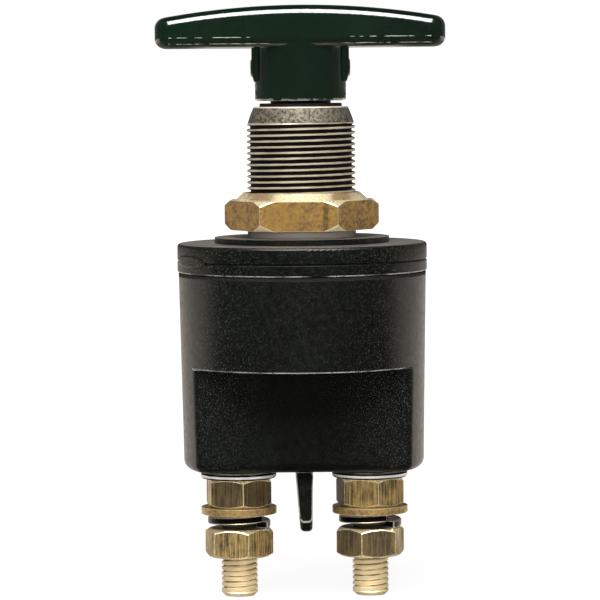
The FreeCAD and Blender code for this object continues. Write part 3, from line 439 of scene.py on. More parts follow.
def bright_metal_finish(
    name, shade, dark, roughness, marks=0.3, metallic=1.0, painted_reflection_above=None, dulled=None
):
    """Clean turned or rubbed metal: faint tarnish clouds and fine marks.

    Above the height given after metallic, brown is painted on both sides of the front: a painted
    reflection of the parts beside the nut. dulled is a (low, high) pair of heights between which
    the metal is dark.
    """
    f = Finish(name)
    clouds = f.between(f.noise(f.place, 240, 5, 0.6), 0.40, 0.75)
    fine = f.noise(f.stretch(f.place, 1, 1, 0.5), 1800, 3)
    base = f.mix(clouds * marks, rgba(shade), rgba(dark))
    x, _, z = f.split(f.place)
    if dulled:
        low, high = dulled
        blur = 0.6 * MM
        band = f.between(z, low, low + blur) * f.between(z, high, high - blur)
        base = f.mix(band * 0.7, base, rgba(dark, 0.8))
    if painted_reflection_above is not None:
        # painted reflection: brown on both sides of the front, near the top, stands for the
        # neighbouring parts mirrored in the nut's cone
        off = f.maths("ABSOLUTE", x) + (clouds - 0.5) * (2 * MM)
        sides = f.between(off, 6 * MM, 9 * MM) * (1.0 - f.between(off, 12 * MM, 16 * MM))
        sides = sides * f.between(z, painted_reflection_above, painted_reflection_above + 0.3 * MM)
        brown = (0.30, 0.15, 0.06, 1)
        base = f.mix(sides * 0.75, base, brown)
    return f.shade(
        Base_Color=base,
        Roughness=roughness + clouds * 0.1 + f.between(fine, 0.4, 0.8) * 0.08,
        Normal=f.bump(fine, 0.012 * MM, 0.5),
        Metallic=metallic,
    )


def neck_finish(looks, crown_low):
    """Turned neck: cream crests over black dirt and painted shade in the roots, painted light on
    the crown's top edge and the foot, and a rough mottled crown above crown_low.
    """
    f = Finish("neck_metal")
    root = f.node("ShaderNodeAttribute", out="Fac", attribute_name="root")
    _, _, z = f.split(f.place)
    worn = f.between(f.noise(f.stretch(f.place, 1, 1, 3), 150, 4), 0.3, 0.7)
    fine = f.noise(f.stretch(f.place, 1, 1, 4), 1400, 3)
    # painted shade: the thread's roots are painted near black, dirt together with the shade in the
    # valleys
    grime_and_shade = f.between(root + worn * 0.2 - 0.1, 0.05, 0.30)
    thread = f.mix(worn * 0.6, rgba(looks.neck, 1.1), rgba(looks.neck, 0.6))
    black_grime_and_shade, painted_lit_foot_colour = (0.006, 0.005, 0.004, 1), (0.30, 0.265, 0.23, 1)
    thread = f.mix(grime_and_shade, thread, black_grime_and_shade)
    pits = f.between(f.noise(f.place, 1150, 4, 0.7), 0.38, 0.64)
    bare = f.mix(pits, rgba(looks.neck, 0.30), rgba(looks.neck, 0.05))
    crown = f.between(z, crown_low, crown_low + 0.1 * MM)
    # painted light: the foot below 2.2 to 2.6 mm, in shade under the nut, is painted the pale
    # brown-grey of the lit boss face
    painted_lit_foot = f.between(z, 2.6 * MM, 2.2 * MM)
    # painted highlight: the crown's top 0.4 mm is painted bright for the light along its top edge
    rim = f.between(z, crown_low + 4.1 * MM, crown_low + 4.3 * MM)
    bare = f.mix(rim, bare, rgba(looks.neck, 1.5))
    base = f.mix(crown, thread, bare)
    base = f.mix(painted_lit_foot, base, painted_lit_foot_colour)
    rough = 0.34 + (grime_and_shade + painted_lit_foot) * 0.3 + crown * 0.2 - rim * 0.25
    normal = f.bump(fine, 0.015 * MM, 0.5)
    normal = f.bump(pits * crown, 0.03 * MM, 0.7, normal)
    return f.shade(
        Base_Color=base,
        Roughness=rough,
        Normal=normal,
        Metallic=f.limit(0.4 - (grime_and_shade + painted_lit_foot) * 0.4 - crown * 0.2, 0.0, 1.0),
        Specular_IOR_Level=0.12,
    )


def stud_finish(looks, painted_shade_above):
    """Stud brass, almost cream on the crests, with thin brown dirt in the roots.

    Above the height given after looks, among the nuts and washers, it is painted near black: dirt
    and painted shade.
    """
    f = Finish("stud_brass")
    root = f.node("ShaderNodeAttribute", out="Fac", attribute_name="root")
    worn = f.between(f.noise(f.stretch(f.place, 1, 1, 2.5), 260, 4), 0.35, 0.7)
    fine = f.noise(f.stretch(f.place, 1, 1, 3), 1500, 3)
    dirt = f.between(root + worn * 0.3 - 0.15, 0.62, 0.98)
    _, _, z = f.split(f.place)
    # painted shade: among the nuts and washers the stud is painted near black, for the shade
    # between the parts
    painted_shade_between_parts = f.between(z, painted_shade_above, painted_shade_above + 1 * MM)
    root_dirt, grime_and_shade = (0.22, 0.13, 0.04, 1), (0.030, 0.022, 0.014, 1)
    base = f.mix(worn * 0.5, rgba(looks.stud), rgba(looks.stud, 0.72))
    base = f.mix(dirt, base, root_dirt)
    base = f.mix(painted_shade_between_parts * 0.95, base, grime_and_shade)
    return f.shade(
        Base_Color=base,
        Roughness=0.34 + (dirt + painted_shade_between_parts) * 0.2 + f.between(fine, 0.3, 0.8) * 0.1,
        Normal=f.bump(fine, 0.02 * MM, 0.6),
        Metallic=0.4,
    )


def rubber_finish(looks):
    """Matt black rubber with a fine bloom."""
    f = Finish("rubber")
    bloom = f.between(f.noise(f.place, 240, 5), 0.4, 0.75)
    pores = f.noise(f.place, 3000, 2)
    base = f.mix(bloom, rgba(looks.rubber), rgba(looks.rubber, 2.2))
    return f.shade(
        Base_Color=base,
        Roughness=0.66 + bloom * 0.2,
        Normal=f.bump(pores, 0.03 * MM, 0.5),
        Specular_IOR_Level=0.2,
    )


# ---- meshes ----
def heights(node):
    """The lowest and highest place of a CAD node."""
    low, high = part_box(node)
    return low.z, high.z


def welded(mesh, distance=WELD):
    """A mesh's shape with its loose triangles joined."""
    shape = bmesh.new()
    shape.from_mesh(mesh)
    bmesh.ops.remove_doubles(shape, verts=shape.verts, dist=distance)
    return shape


def as_mesh(shape, name, materials=(), degrees=None):
    """A shape as a mesh: flat, or smooth but for edges that turn past that many degrees."""
    if degrees:
        for face in shape.faces:
            face.smooth = True
        for edge in shape.edges:
            edge.smooth = edge.calc_face_angle(0) < radians(degrees)
    mesh = bpy.data.meshes.new(name)
    shape.to_mesh(mesh)
    shape.free()
    for material in materials:
        mesh.materials.append(material)
    return mesh


def new_piece(name, shape, materials=(), degrees=None):
    piece = bpy.data.objects.new(name, as_mesh(shape, name, materials, degrees))
    bpy.context.scene.collection.objects.link(piece)
    return piece


def wear(material, *nodes):
    """Gives CAD nodes their finish."""
    for name in nodes:
        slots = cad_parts[name].data.materials
        slots.clear()
        slots.append(material)


def settle(piece, node, body):
    """Puts a finished piece in a CAD node's place."""
    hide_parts(node)
    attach(piece, body)


def edged_copy(
    node, name, width, finish, edge_finish, cones=False, within=None, top_finish=None
):
    """A CAD node's shape with its sharp edges cut back and given a finish of their own.

    cones gives the edge finish to sloping faces too; within, a (low, high) pair of heights,
    keeps the cutting to the edges between them; top_finish goes on the faces that look up.
    Corners that the cutting throws clear of the shape are brought back to its skin.
    """
    shape = welded(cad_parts[node].data)
    flat = radians(0.4)
    bmesh.ops.dissolve_limit(shape, angle_limit=flat, verts=shape.verts, edges=shape.edges)
    for face in shape.faces:
        sloping = 0.15 < abs(face.normal.z) < 0.97
        face.material_index = 1 if cones and sloping else 0
        if top_finish and face.normal.z > 0.9:
            face.material_index = 2
    low, high = within or heights(node)
    sharp = [
        edge
        for edge in shape.edges
        if edge.calc_face_angle(0) > radians(24)
        and all(low - WELD <= vert.co.z <= high + WELD for vert in edge.verts)
    ]
    skin = BVHTree.FromBMesh(shape)
    bmesh.ops.bevel(
        shape, geom=sharp, offset=width, segments=1, profile=0.5, affect="EDGES", material=1
    )
    stray = 0.02 * MM
    for vert in shape.verts:
        spot = skin.find_nearest(vert.co)[0]
        if (vert.co - spot).length > stray:
            vert.co = spot
    finishes = [made for made in (finish, edge_finish, top_finish) if made]
    return new_piece(name, shape, finishes, 16)


def lathe(mesh, profile, columns):
    """Faces turned about Z from (radius, height) points, given so that outside is on the right."""
    rings = []
    for radius, height in profile:
        if radius == 0:
            rings.append([mesh.verts.new((0, 0, height))] * columns)
            continue
        turns = [2 * pi * i / columns for i in range(columns)]
        ring = [(radius * cos(t), radius * sin(t), height) for t in turns]
        rings.append([mesh.verts.new(point) for point in ring])
    for low, high in zip(rings, rings[1:]):
        for i in range(columns):
            j = (i + 1) % columns
            corners = [low[i], low[j], high[j], high[i]]
            mesh.faces.new(list(dict.fromkeys(corners)))


def blank(name, profiles, columns, centre=(0, 0)):
    """An open turned piece whose rings a thread will join."""
    shape = bmesh.new()
    for profile in profiles:
        lathe(shape, profile, columns)
    bmesh.ops.translate(shape, vec=(*centre, 0), verts=shape.verts)
    return new_piece(name, shape)


def wire_piece(name, lines):
    """A piece of bare edges along lists of points."""
    shape = bmesh.new()
    for line in lines:
        points = [shape.verts.new(point) for point in line]
        for pair in zip(points, points[1:]):
            shape.edges.new(pair)
    return new_piece(name, shape)


def new_group(name, numbers):
    """A geometry node group with a geometry, those numbers and a material as its inputs."""
    group = bpy.data.node_groups.new(name, "GeometryNodeTree")
    face = group.interface
    face.new_socket("Geometry", in_out="INPUT", socket_type="NodeSocketGeometry")
    for number in numbers:
        face.new_socket(number, in_out="INPUT", socket_type="NodeSocketFloat")
    face.new_socket("Material", in_out="INPUT", socket_type="NodeSocketMaterial")
    face.new_socket("Geometry", in_out="OUTPUT", socket_type="NodeSocketGeometry")
    g = Tree(group)
    given = g.node("NodeGroupInput", out=None)
    return g, {name: Wire(g, given.outputs[name]) for name in ("Geometry", *numbers, "Material")}


def end_group(g, geometry, material):
    real = g.node("GeometryNodeRealizeInstances", {0: geometry})
    made = g.node("GeometryNodeSetMaterial", {"Geometry": real, "Material": material})
    g.node("NodeGroupOutput", {0: made}, None)
    return g.tree


def run_group(piece, group, material, **numbers):
    """Runs a geometry node group on a piece and keeps the result as its plain mesh."""
    modifier = piece.modifiers.new(group.name, "NODES")
    modifier.node_group = group
    for item in group.interface.items_tree:
        if item.in_out == "INPUT" and item.socket_type == "NodeSocketFloat":
            key = item.name.lower().replace(" ", "_").replace("-", "_")
            modifier[item.identifier] = float(numbers[key])
        elif item.in_out == "INPUT" and item.name == "Material":
            modifier[item.identifier] = material
    depsgraph = bpy.context.evaluated_depsgraph_get()
    made = bpy.data.meshes.new_from_object(piece.evaluated_get(depsgraph))
    piece.modifiers.clear()
    shape = welded(made, WELD / 2)
    bmesh.ops.recalc_face_normals(shape, faces=shape.faces)
    piece.data = as_mesh(shape, piece.name, [material], 32)


def arc(start, end, bulge, steps):
    """Points after start up to end on a gentle bow between two (radius, height) points."""
    (r0, z0), (r1, z1) = start, end
    shares = [i / steps for i in range(1, steps + 1)]
    return [(r0 + (r1 - r0) * t + bulge * 4 * t * (1 - t), z0 + (z1 - z0) * t) for t in shares]


THREAD_SHAPE = ("Centre X", "Radius", "End Radius", "Depth", "Pitch", "Low", "High")
THREAD_INPUTS = (*THREAD_SHAPE, "Run-out", "Columns", "Root Flat", "Crest Flat")
ROWS = 12  # rows of faces in one pitch


def thread_group():
    """Joins a right-handed thread to a blank: a grid wound round Z and cut flat at Low and High."""
    made = bpy.data.node_groups.get("screw_thread")
    if made:
        return made
    g, given = new_group("screw_thread", THREAD_INPUTS)
    centre, radius, end_radius, depth, pitch, low, high, run_out, columns, rooted, crested = (
        given[name] for name in THREAD_INPUTS
    )
    rows = (g.maths("CEIL", (high - low) / pitch - 0.001) + 1.0) * float(ROWS)
    grid = g.node(
        "GeometryNodeMeshGrid",
        {"Size X": 1.0, "Size Y": 1.0, "Vertices X": columns + 1.0, "Vertices Y": rows + 1.0},
    )
    across, up, _ = g.split(g.node("GeometryNodeInputPosition"))
    turn = across + 0.5
    row = g.maths("ROUND", (up + 0.5) * rows)
    height = low - pitch + (row / float(ROWS) + turn) * pitch
    height = g.limit(height, low, high)
    phase = g.maths("FRACT", row / float(ROWS) + 0.5 / ROWS)
    ridge = g.maths("ABSOLUTE", phase * 2.0 - 1.0)
    root = 1.0 - g.between(ridge, rooted, 1.0 - crested)
    fade = g.between((height - low) / run_out, 0.0, 1.0)
    fade = fade * g.between((high - height) / run_out, 0.0, 1.0)
    taper = g.between(height, high - run_out, high)
    reach = radius - (radius - end_radius) * taper - depth * root * fade
    angle = turn * (2 * pi)
    place = g.join(
        centre + reach * g.maths("COSINE", angle), reach * g.maths("SINE", angle), height
    )
    stored = g.node(
        "GeometryNodeStoreNamedAttribute",
        {"Geometry": grid, "Name": "root", "Value": root * fade},
        data_type="FLOAT",
        domain="POINT",
    )
    wound = g.node("GeometryNodeSetPosition", {"Geometry": stored, "Position": place})
    both = g.node("GeometryNodeJoinGeometry", out=None)
    g.tree.links.new(given["Geometry"].socket, both.inputs[0])
    g.tree.links.new(wound.socket, both.inputs[0])
    joined = Wire(g, both.outputs[0])
    merged = g.node("GeometryNodeMergeByDistance", {0: joined, "Distance": WELD})
    return end_group(g, merged, given["Material"])


BEAD_INPUTS = ("Radius", "Fade From", "Fade To", "Breaks")


def bead_group():
    """A thin bead along a path: thinned by noise, and faded out as it nears the axis."""
    g, given = new_group("parting_bead", BEAD_INPUTS)
    radius, fade_from, fade_to, breaks = (given[name] for name in BEAD_INPUTS)
    position = g.node("GeometryNodeInputPosition")
    x, _, _ = g.split(position)
    away = g.between(g.maths("ABSOLUTE", x), fade_to, fade_from)
    ragged = g.between(g.noise(position, breaks, 2), 0.40, 0.54)
    size = away * (0.25 + ragged * 0.75)
    curve = g.node("GeometryNodeMeshToCurve", {"Mesh": given["Geometry"]})
    ring = g.node("GeometryNodeCurvePrimitiveCircle", {"Resolution": 10, "Radius": radius})
    sockets = {"Curve": curve, "Profile Curve": ring, "Scale": size, "Fill Caps": True}
    bead = g.node("GeometryNodeCurveToMesh", sockets)
    return end_group(g, bead, given["Material"])


# ---- operators ----
class SWITCH_OT_stage(bpy.types.Operator):
    """Makes the floor, the surroundings, the lamps and the camera"""

    bl_idname = "switch.stage"
    bl_label = "Stage"

    def execute(self, context):
        scene = context.scene
        stage = scene.switch_stage
        scene.view_settings.view_transform = "Standard"
        self.add_floor(stage)
        self.add_world(scene, stage)
        self.add_lamps(scene, stage)
        self.add_camera(scene, stage)
        return {"FINISHED"}

    def add_floor(self, stage):
        """A wide disc just under the switch: painted, but lit by itself where it is seen."""
        f = Finish("floor_paint")
        direct, mirrored = f.rays()
        seen = f.maths("MAXIMUM", direct, mirrored)
        x, y, _ = f.split(f.place)
        reach = f.maths("SQRT", x * x + y * y)
        behind = f.between(y, -0.02, 0.10) * (1.0 - f.between(reach, 1.8, 2.6))
        away = f.maths("MAXIMUM", f.between(reach, 0.12, 0.6), mirrored)
        white, warm = (1, 1, 1, 1), (1.0, 0.91, 0.80, 1)
        tint = f.mix(mirrored, white, warm)
        mottle = f.between(f.noise(f.place, 9, 3), 0.3, 0.7)
        base = f.mix(mottle, rgba(stage.floor_colour, 0.99), rgba(stage.floor_colour))
        paint = f.node("ShaderNodeBsdfDiffuse", {"Color": base})
        bright = f.node("ShaderNodeEmission", {"Color": tint, "Strength": 1.15})
        dim = f.node("ShaderNodeEmission", {"Color": warm, "Strength": stage.front_light})
        front = mirrored * (1.0 - behind)
        glow = f.node("ShaderNodeMixShader", {0: front, 1: bright, 2: dim})
        seen = seen * (away * 0.2 + 0.8)
        surface = f.node("ShaderNodeMixShader", {0: seen, 1: paint, 2: glow})
        f.node("ShaderNodeOutputMaterial", {"Surface": surface}, None)
        shape = bmesh.new()
        level = Matrix.Translation((0, 0, CAD_BOUNDS[0].z - 0.2 * MM))
        bmesh.ops.create_circle(shape, cap_ends=True, radius=40, segments=96, matrix=level)
        new_piece("floor", shape, [f.material])

    def add_world(self, scene, stage):
        """White for the camera; to everything else a white backdrop behind a dim room."""
        world = bpy.data.worlds.new("studio")
        world.use_nodes = True
        scene.world = world
        w = Tree(world.node_tree)
        direct, mirrored = w.rays()
        _, y, z = w.split(w.node("ShaderNodeTexCoord", out="Generated"))
        backdrop = w.between(y, 0.30, 0.50) * (1.0 - w.between(z, 0.35, 0.75))
        room = stage.front_light * (1.0 - 0.8 * w.between(z, 0.6, 0.95))
        backdrop = backdrop * (1.0 - mirrored * 0.85)
        level = w.maths("MAXIMUM", direct, w.maths("MAXIMUM", backdrop, room))
        dark = w.node("ShaderNodeBackground", {"Color": (0, 0, 0, 1), "Strength": 1.0})
        white = w.node("ShaderNodeBackground", {"Color": (1, 1, 1, 1), "Strength": 1.0})
        light = w.node("ShaderNodeMixShader", {0: level, 1: dark, 2: white})
        w.node("ShaderNodeOutputWorld", {"Surface": light}, None)

    def add_lamps(self, scene, stage):
        """Soft boxes: one throws the soft light, one the highlights, and one fills the front.

        Each row has a name, place, width, height and share of the power, and says whether
        the box makes highlights or plain light.
        """
        boxes = (
            ("key", (-0.15, -0.48, 0.78), 0.8, 0.5, 0.45, False),
            ("highlight", (0.0, -0.55, 0.72), 1.1, 0.62, 1.6, True),
            ("fill", (0.1, -1.3, 0.10), 0.8, 0.5, 0.6, False),
        )
        for name, place, width, height, share, highlights in boxes:
            lamp = bpy.data.lights.new(name, "AREA")
            lamp.shape = "RECTANGLE"
            lamp.size, lamp.size_y = width, height
            lamp.energy = stage.lamp_power * share
            holder = bpy.data.objects.new(name, lamp)
            holder.location = place
            sight = Vector((0, 0, -20 * MM)) - Vector(place)
            holder.rotation_euler = sight.to_track_quat("-Z", "Y").to_euler()
            holder.visible_glossy = highlights
            holder.visible_diffuse = not highlights
            scene.collection.objects.link(holder)

    def add_camera(self, scene, stage):
        lens = bpy.data.cameras.new("camera")
        camera = bpy.data.objects.new("camera", lens)
        scene.collection.objects.link(camera)
        place = Vector((stage.camera_side, -stage.camera_distance, stage.camera_height))
        sight = Vector((stage.camera_side, 0, stage.aim_height)) - place
        lens.lens = lens.sensor_width * sight.length / stage.frame_height
        lens.clip_start, lens.clip_end = 0.05, 100
        turn = sight.to_track_quat("-Z", "Y").to_matrix().to_4x4()
        roll = Matrix.Rotation(-stage.roll, 4, "Z")
        camera.matrix_world = Matrix.Translation(place) @ turn @ roll
        scene.camera = camera


class SWITCH_OT_handle(bpy.types.Operator):
    """Enamels the T handle and its pin, and lays pale beads: the bar's parting line, partly a
    painted highlight, and painted reflections on the bar's lower round and the hub's sides
    """

    bl_idname = "switch.handle"
    bl_label = "Handle"

    def execute(self, context):
        sizes = context.scene.switch_sizes
        enamel = enamel_finish(context.scene.switch_colours)
        wear(enamel, "t_handle", "handle_pin")
        hub_low, crown = heights("t_handle")
        bar_low = crown - BAR_HEIGHT
        round_radius, faint_rise = 2.8 * MM, 1.2 * MM
        inset = round_radius - sqrt(round_radius**2 - (round_radius - faint_rise) ** 2)
        parting = parting_and_highlight_finish(context.scene.switch_colours)
        radius = sizes.parting_width / 2
        group = bead_group()
        middle = self.bar_lines(bar_low + sizes.parting_rise, 0)
        # painted reflection: a pale bead on the bar's lower round stands for the floor mirrored in
        # it
        faint = self.bar_lines(bar_low + faint_rise, inset)
        # painted reflection: pale beads down the hub's sides stand for the white surroundings
        # mirrored near its outline
        upright = self.hub_lines(hub_low + 0.4 * MM, bar_low - 7 * MM)
        rows = (
            ("parting_line", middle, radius, 12.5 * MM, 15 * MM),
            ("lower_line", faint, radius * 0.7, 5 * MM, 12 * MM),
            ("hub_line", upright, radius * 1.4, 0, 1 * MM),
        )
        for name, lines, width, fade_to, fade_from in rows:
            piece = wire_piece(name, lines)
            numbers = {"radius": width, "fade_from": fade_from, "fade_to": fade_to}
            run_group(piece, group, parting, breaks=420, **numbers)
            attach(piece, "handle")
        return {"FINISHED"}

    def bar_lines(self, z, inset):
        """Level lines along the bar's bowed front and back, set into its skin."""
        low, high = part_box("t_handle")
        half = (high.x - low.x) / 2
        middle_depth, end_depth = 12.8 * MM, 8.5 * MM
        step, steps = 0.5 * MM, 72
        sunk = 0.04 * MM
        lines = []
        for side in (-1, 1):
            line = []
            for i in range(-steps, steps + 1):
                x = i * step
                share = (x / half) ** 2
                depth = middle_depth - (middle_depth - end_depth) * share
                line.append((x, side * (depth - inset - sunk), z))
            lines.append(line)
        return lines

    def hub_lines(self, low_z, high_z):
        """Upright lines down the hub's two sides, near its outline: a painted reflection of the
        white surroundings.
        """
        radius, turn = 12.56 * MM, radians(12)
        steps = 24
        step = (high_z - low_z) / steps
        lines = []
        for side in (-1, 1):
            x, y = side * radius * cos(turn), -radius * sin(turn)
            lines.append([(x, y, low_z + i * step) for i in range(steps + 1)])
        return lines


class SWITCH_OT_neck(bpy.types.Operator):
    """Turns the neck with its thread, crowned end and captive flange"""

    bl_idname = "switch.neck"
    bl_label = "Threaded neck"

    def execute(self, context):
        sizes = context.scene.switch_sizes
        low, high = heights("neck_bushing")
        radius, end_radius = 15 * MM, 13 * MM
        shaft_radius, flange_radius = 6.05 * MM, 19.9 * MM
        foot = radius - sizes.crown_inset
        flange_top = low + 3 * MM
        thread_low, thread_high = sizes.neck_pitch, high - sizes.crown_height
        lip = 0.12 * MM
        crown = arc((foot, thread_high), (end_radius, high), sizes.crown_bow, 8)
        profile = [
            (foot, thread_high),
            *crown[:-1],
            (end_radius + lip / 2, high - lip),
            (end_radius - lip, high),
            (shaft_radius, high),
            (shaft_radius, low),
            (flange_radius, low),
            (flange_radius, flange_top),
            (radius, flange_top),
            (radius, thread_low),
        ]
        columns = sizes.neck_columns
        piece = blank("neck_threaded", [profile], columns)
        run_group(
            piece,
            thread_group(),
            neck_finish(context.scene.switch_colours, thread_high),
            centre_x=0,
            radius=radius,
            end_radius=foot,
            depth=sizes.neck_depth,
            pitch=sizes.neck_pitch,
            low=thread_low,
            high=thread_high,
            run_out=sizes.run_out,
            columns=columns,
            root_flat=0.3,
            crest_flat=0.25,
        )
        settle(piece, "neck_bushing", "case")
        return {"FINISHED"}


class SWITCH_OT_clamp_nut(bpy.types.Operator):
    """Wears the edges of the nut on the neck, and finishes it"""

    bl_idname = "switch.clamp_nut"
    bl_label = "Clamping nut"

    def execute(self, context):
        looks = context.scene.switch_colours
        brass = worn_brass_finish(
            "brass", looks.brass, (0.125, 0.068, 0.026), 0.3, stain=(6.6 * MM, 0.9 * MM)
        )
        low, high = heights("panel_nut")
        rubbed = bright_metal_finish(
            "rubbed_brass",
            looks.rubbed,
            (0.5, 0.33, 0.16),
            0.26,
            metallic=0.4,
            # painted reflection: brown near the nut's top, on both sides of the front
            painted_reflection_above=high - 2 * MM,
            dulled=(low + 1.6 * MM, high - 3.4 * MM),
        )
        width = context.scene.switch_sizes.brass_edge
        piece = edged_copy("panel_nut", "clamp_nut", width, brass, rubbed, cones=True)
        settle(piece, "panel_nut", "panel_nut")
        wear(brass, "screw_inserts")
        return {"FINISHED"}


class SWITCH_OT_case(bpy.types.Operator):
    """Rounds and finishes the case mouldings, and adds the plain pad on the cover's rim"""

    bl_idname = "switch.case"
    bl_label = "Case"

    def execute(self, context):
        looks = context.scene.switch_colours
        sizes = context.scene.switch_sizes
        housing_low, housing_high = heights("housing")
        cover_low, _ = heights("cover")
        moulding = moulding_finish(looks, seam=housing_high - 0.9 * MM)
        speckled = moulding_finish(looks, "cover_moulding", dust=1.0, shine=0.3)
        dusty = moulding_finish(looks, "cover_top", dust=0.8, settled=0.55, shine=0.3)
        edges = moulding_edge_finish(looks)
        rows = (
            ("housing", moulding, (housing_low, -12 * MM), None),
            ("cover", speckled, (cover_low, -9 * MM), dusty),
        )
        for node, finish, within, top in rows:
            width = sizes.moulding_edge
            piece = edged_copy(
                node, f"{node}_edged", width, finish, edges, within=within, top_finish=top
            )
            settle(piece, node, "case")
        inner = moulding_finish(looks, "inner_moulding", looks.inner, dust=0.2, gloss=0.05)
        wear(inner, "stop_plate", "bridge_carrier", "thrust_washer")
        pad = self.pad(sizes.pad_thickness, speckled)
        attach(pad, "case")
        return {"FINISHED"}

    def pad(self, thickness, finish):
        """A blank oval pad wrapped on the rim, left of the front, and sunk into it behind.

        Each row of skins has its share of the oval's size and how far it stands off the rim.
        """
        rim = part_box("cover")[1].y
        middle_turn, half_turn = radians(-64), radians(15)
        middle_z, half_height = -6.0 * MM, 1.7 * MM
        sunk = -0.3 * MM
        skins = (
            (0.35, thickness),
            (0.70, thickness),
            (0.88, thickness),
            (0.95, thickness * 0.8),
            (1.00, thickness * 0.3),
            (1.02, sunk),
            (0.50, sunk),
        )
        around = 64
        shape = bmesh.new()
        rings = []
        for share, proud in skins:
            ring = []
            for i in range(around):
                t = 2 * pi * i / around
                turn = middle_turn + half_turn * share * cos(t)
                z = middle_z + half_height * share * sin(t)
                reach = rim + proud
                ring.append(shape.verts.new((reach * sin(turn), -reach * cos(turn), z)))
            rings.append(ring)
        for first, second in zip(rings, rings[1:]):
            for i in range(around):
                j = (i + 1) % around
                shape.faces.new((first[i], first[j], second[j], second[i]))
        shape.faces.new(rings[0])
        shape.faces.new(rings[-1])
        bmesh.ops.recalc_face_normals(shape, faces=shape.faces)
        return new_piece("rim_pad", shape, [finish], 30)


class SWITCH_OT_studs(bpy.types.Operator):
    """Turns the two threaded terminal studs with their heads in the chamber"""

    bl_idname = "switch.studs"
    bl_label = "Terminal studs"

    def execute(self, context):
        sizes = context.scene.switch_sizes
        nut_foot, _ = heights("lower_nuts")
        material = stud_finish(context.scene.switch_colours, nut_foot)
        radius, chamfer, head_height = 5 * MM, 1 * MM, 4 * MM
        turns = 23
        for side in ("left", "right"):
            node = f"terminal_stud_{side}"
            low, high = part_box(node)
            centre = (low.x + high.x) / 2
            head = (high.x - low.x) / 2
            head_low = high.z - head_height
            thread_low = low.z + chamfer
            thread_high = thread_low + turns * sizes.stud_pitch
            lower = [(0, low.z), (radius - chamfer, low.z), (radius, thread_low)]
            upper = [
                (radius, thread_high),
                (radius, head_low),
                (head, head_low),
                (head, high.z),
                (0, high.z),
            ]
            columns = sizes.stud_columns
            piece = blank(f"{node}_threaded", [lower, upper], columns, (centre, 0))
            run_group(
                piece,
                thread_group(),
                material,
                centre_x=centre,
                radius=radius,
                end_radius=radius,
                depth=sizes.stud_depth,
                pitch=sizes.stud_pitch,
                low=thread_low,
                high=thread_high,
                run_out=sizes.run_out,
                columns=columns,
                root_flat=0.0,
                crest_flat=0.38,
            )
            settle(piece, node, "case")
        return {"FINISHED"}


class SWITCH_OT_terminals(bpy.types.Operator):
    """Wears and finishes the nuts and washers on the terminal studs"""

    bl_idname = "switch.terminals"
    bl_label = "Terminal nuts and washers"

    def execute(self, context):
        looks = context.scene.switch_colours
        width = context.scene.switch_sizes.brass_edge
        brown = (0.060, 0.044, 0.028)
        upper, lower = (
            worn_brass_finish(name, looks.terminal, brown, 0.32, streaked=True, tarnish=tarnish)
            for name, tarnish in (
                # tarnish stretches of painted shade: the upper-left nut, shaded by the housing and
                # washers, and the lower-right nut
                ("upper_brass", (-7 * MM, 17.5 * MM)),
                ("lower_brass", (14 * MM, 10 * MM)),
            )
        )
        washer = worn_brass_finish("washer_brass", looks.terminal, (0.22, 0.13, 0.05), 0.25)
        rubbed = bright_metal_finish(
            "rubbed_terminal", looks.rubbed, (0.34, 0.22, 0.09), 0.24, 0.55, metallic=0.5
        )
        steel = bright_metal_finish("steel", looks.steel, STEEL_TARNISH, 0.2, metallic=0.5)
        blued = bright_metal_finish("blued_steel", looks.blued, BLUED_TARNISH, 0.3)
        # painted shade: the base washers' rims are painted dark for the shade lines along them
        painted_shade_edges = bright_metal_finish("grimy_steel", looks.blued, BLUED_TARNISH, 0.5)
        # painted reflection: the base washers are painted near white for the white surroundings
        # their sides mirror
        pale = bright_metal_finish(
            "base_steel", looks.base_steel, STEEL_TARNISH, 0.3, metallic=0.2
        )
        rows = (
            ("upper_nuts", "brass", upper, rubbed, width, True),
            ("lower_nuts", "brass", lower, rubbed, width, True),
            ("flat_washers", "brass", washer, rubbed, width, False),
            ("base_washers", "steel", pale, painted_shade_edges, 2.6 * width, False),
            ("spring_washers", "steel", blued, steel, 1.8 * width, False),
        )
        for node, slot, finish, edge, cut, cones in rows:
            piece = edged_copy(node, f"{node}_worn", cut, finish, edge, cones)
            settle(piece, node, "case")
        return {"FINISHED"}


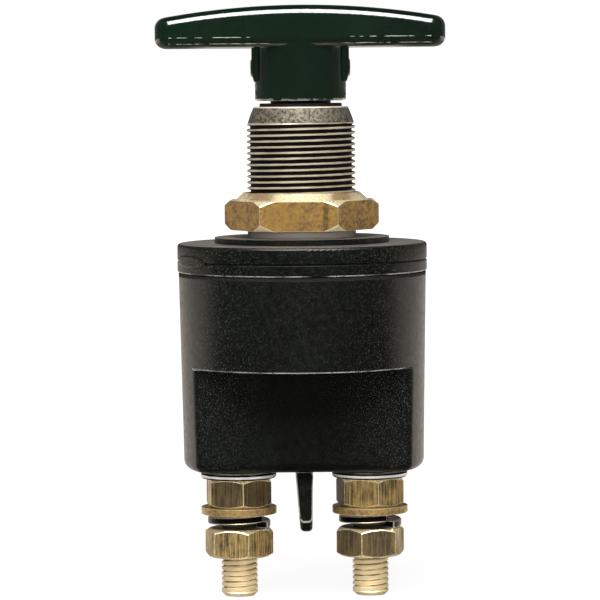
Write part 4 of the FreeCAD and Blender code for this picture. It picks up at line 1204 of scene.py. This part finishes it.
class SWITCH_OT_inside(bpy.types.Operator):
    """Finishes the shaft, springs, contacts, seals and screws"""

    bl_idname = "switch.inside"
    bl_label = "Inner pieces"

    def execute(self, context):
        looks = context.scene.switch_colours
        steel = bright_metal_finish("plain_steel", looks.steel, STEEL_TARNISH, 0.28)
        copper = bright_metal_finish("copper", looks.copper, (0.25, 0.09, 0.05), 0.28, 0.4)
        silver = bright_metal_finish("silver", looks.silver, (0.3, 0.29, 0.26), 0.25)
        rubber = rubber_finish(looks)
        blued = bright_metal_finish("dark_steel", looks.blued, BLUED_TARNISH, 0.4)
        wear(blued, "handle_washer")
        wear(steel, "shaft", "drive_pin", "cover_screws", "contact_spring")
        self.squeezed_spring(steel)
        wear(copper, "contact_bridge")
        wear(silver, "moving_contacts", "fixed_contacts")
        wear(rubber, "wiper_seal", "shaft_orings", "cover_gasket")
        return {"FINISHED"}

    def squeezed_spring(self, steel):
        """The return spring, copied as one plain mesh in its CAD place."""
        shape = welded(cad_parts["return_spring"].data)
        spring = new_piece("return_coil", shape, [steel], 30)
        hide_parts("return_spring")
        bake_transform(spring)


class SWITCH_PT_panel(bpy.types.Panel):
    """Lists the operators with the sizes, colours and stage"""

    bl_idname = "SWITCH_PT_panel"
    bl_label = "Battery Switch"
    bl_space_type = "VIEW_3D"
    bl_region_type = "UI"
    bl_category = "Battery Switch"

    def draw(self, context):
        layout = self.layout
        for operator in OPERATORS:
            layout.operator(operator.bl_idname)
        for title, name, group in GROUPS:
            box = layout.box()
            box.label(text=title)
            for prop in group.__annotations__:
                box.prop(getattr(context.scene, name), prop)


OPERATORS = (
    SWITCH_OT_stage,
    SWITCH_OT_handle,
    SWITCH_OT_neck,
    SWITCH_OT_clamp_nut,
    SWITCH_OT_case,
    SWITCH_OT_studs,
    SWITCH_OT_terminals,
    SWITCH_OT_inside,
)
GROUPS = (
    ("Details", "switch_sizes", DetailSizes),
    ("Colours", "switch_colours", FinishColours),
    ("Stage", "switch_stage", StageSettings),
)


def register():
    for _, name, group in GROUPS:
        bpy.utils.register_class(group)
        setattr(bpy.types.Scene, name, PointerProperty(type=group))
    for part in (*OPERATORS, SWITCH_PT_panel):
        bpy.utils.register_class(part)


def unregister():
    for part in (SWITCH_PT_panel, *reversed(OPERATORS)):
        bpy.utils.unregister_class(part)
    for _, name, group in reversed(GROUPS):
        delattr(bpy.types.Scene, name)
        bpy.utils.unregister_class(group)


def main():
    register()
    for operator in OPERATORS:
        area, name = operator.bl_idname.split(".")
        getattr(getattr(bpy.ops, area), name)()


if __name__ == "__main__":
    main()
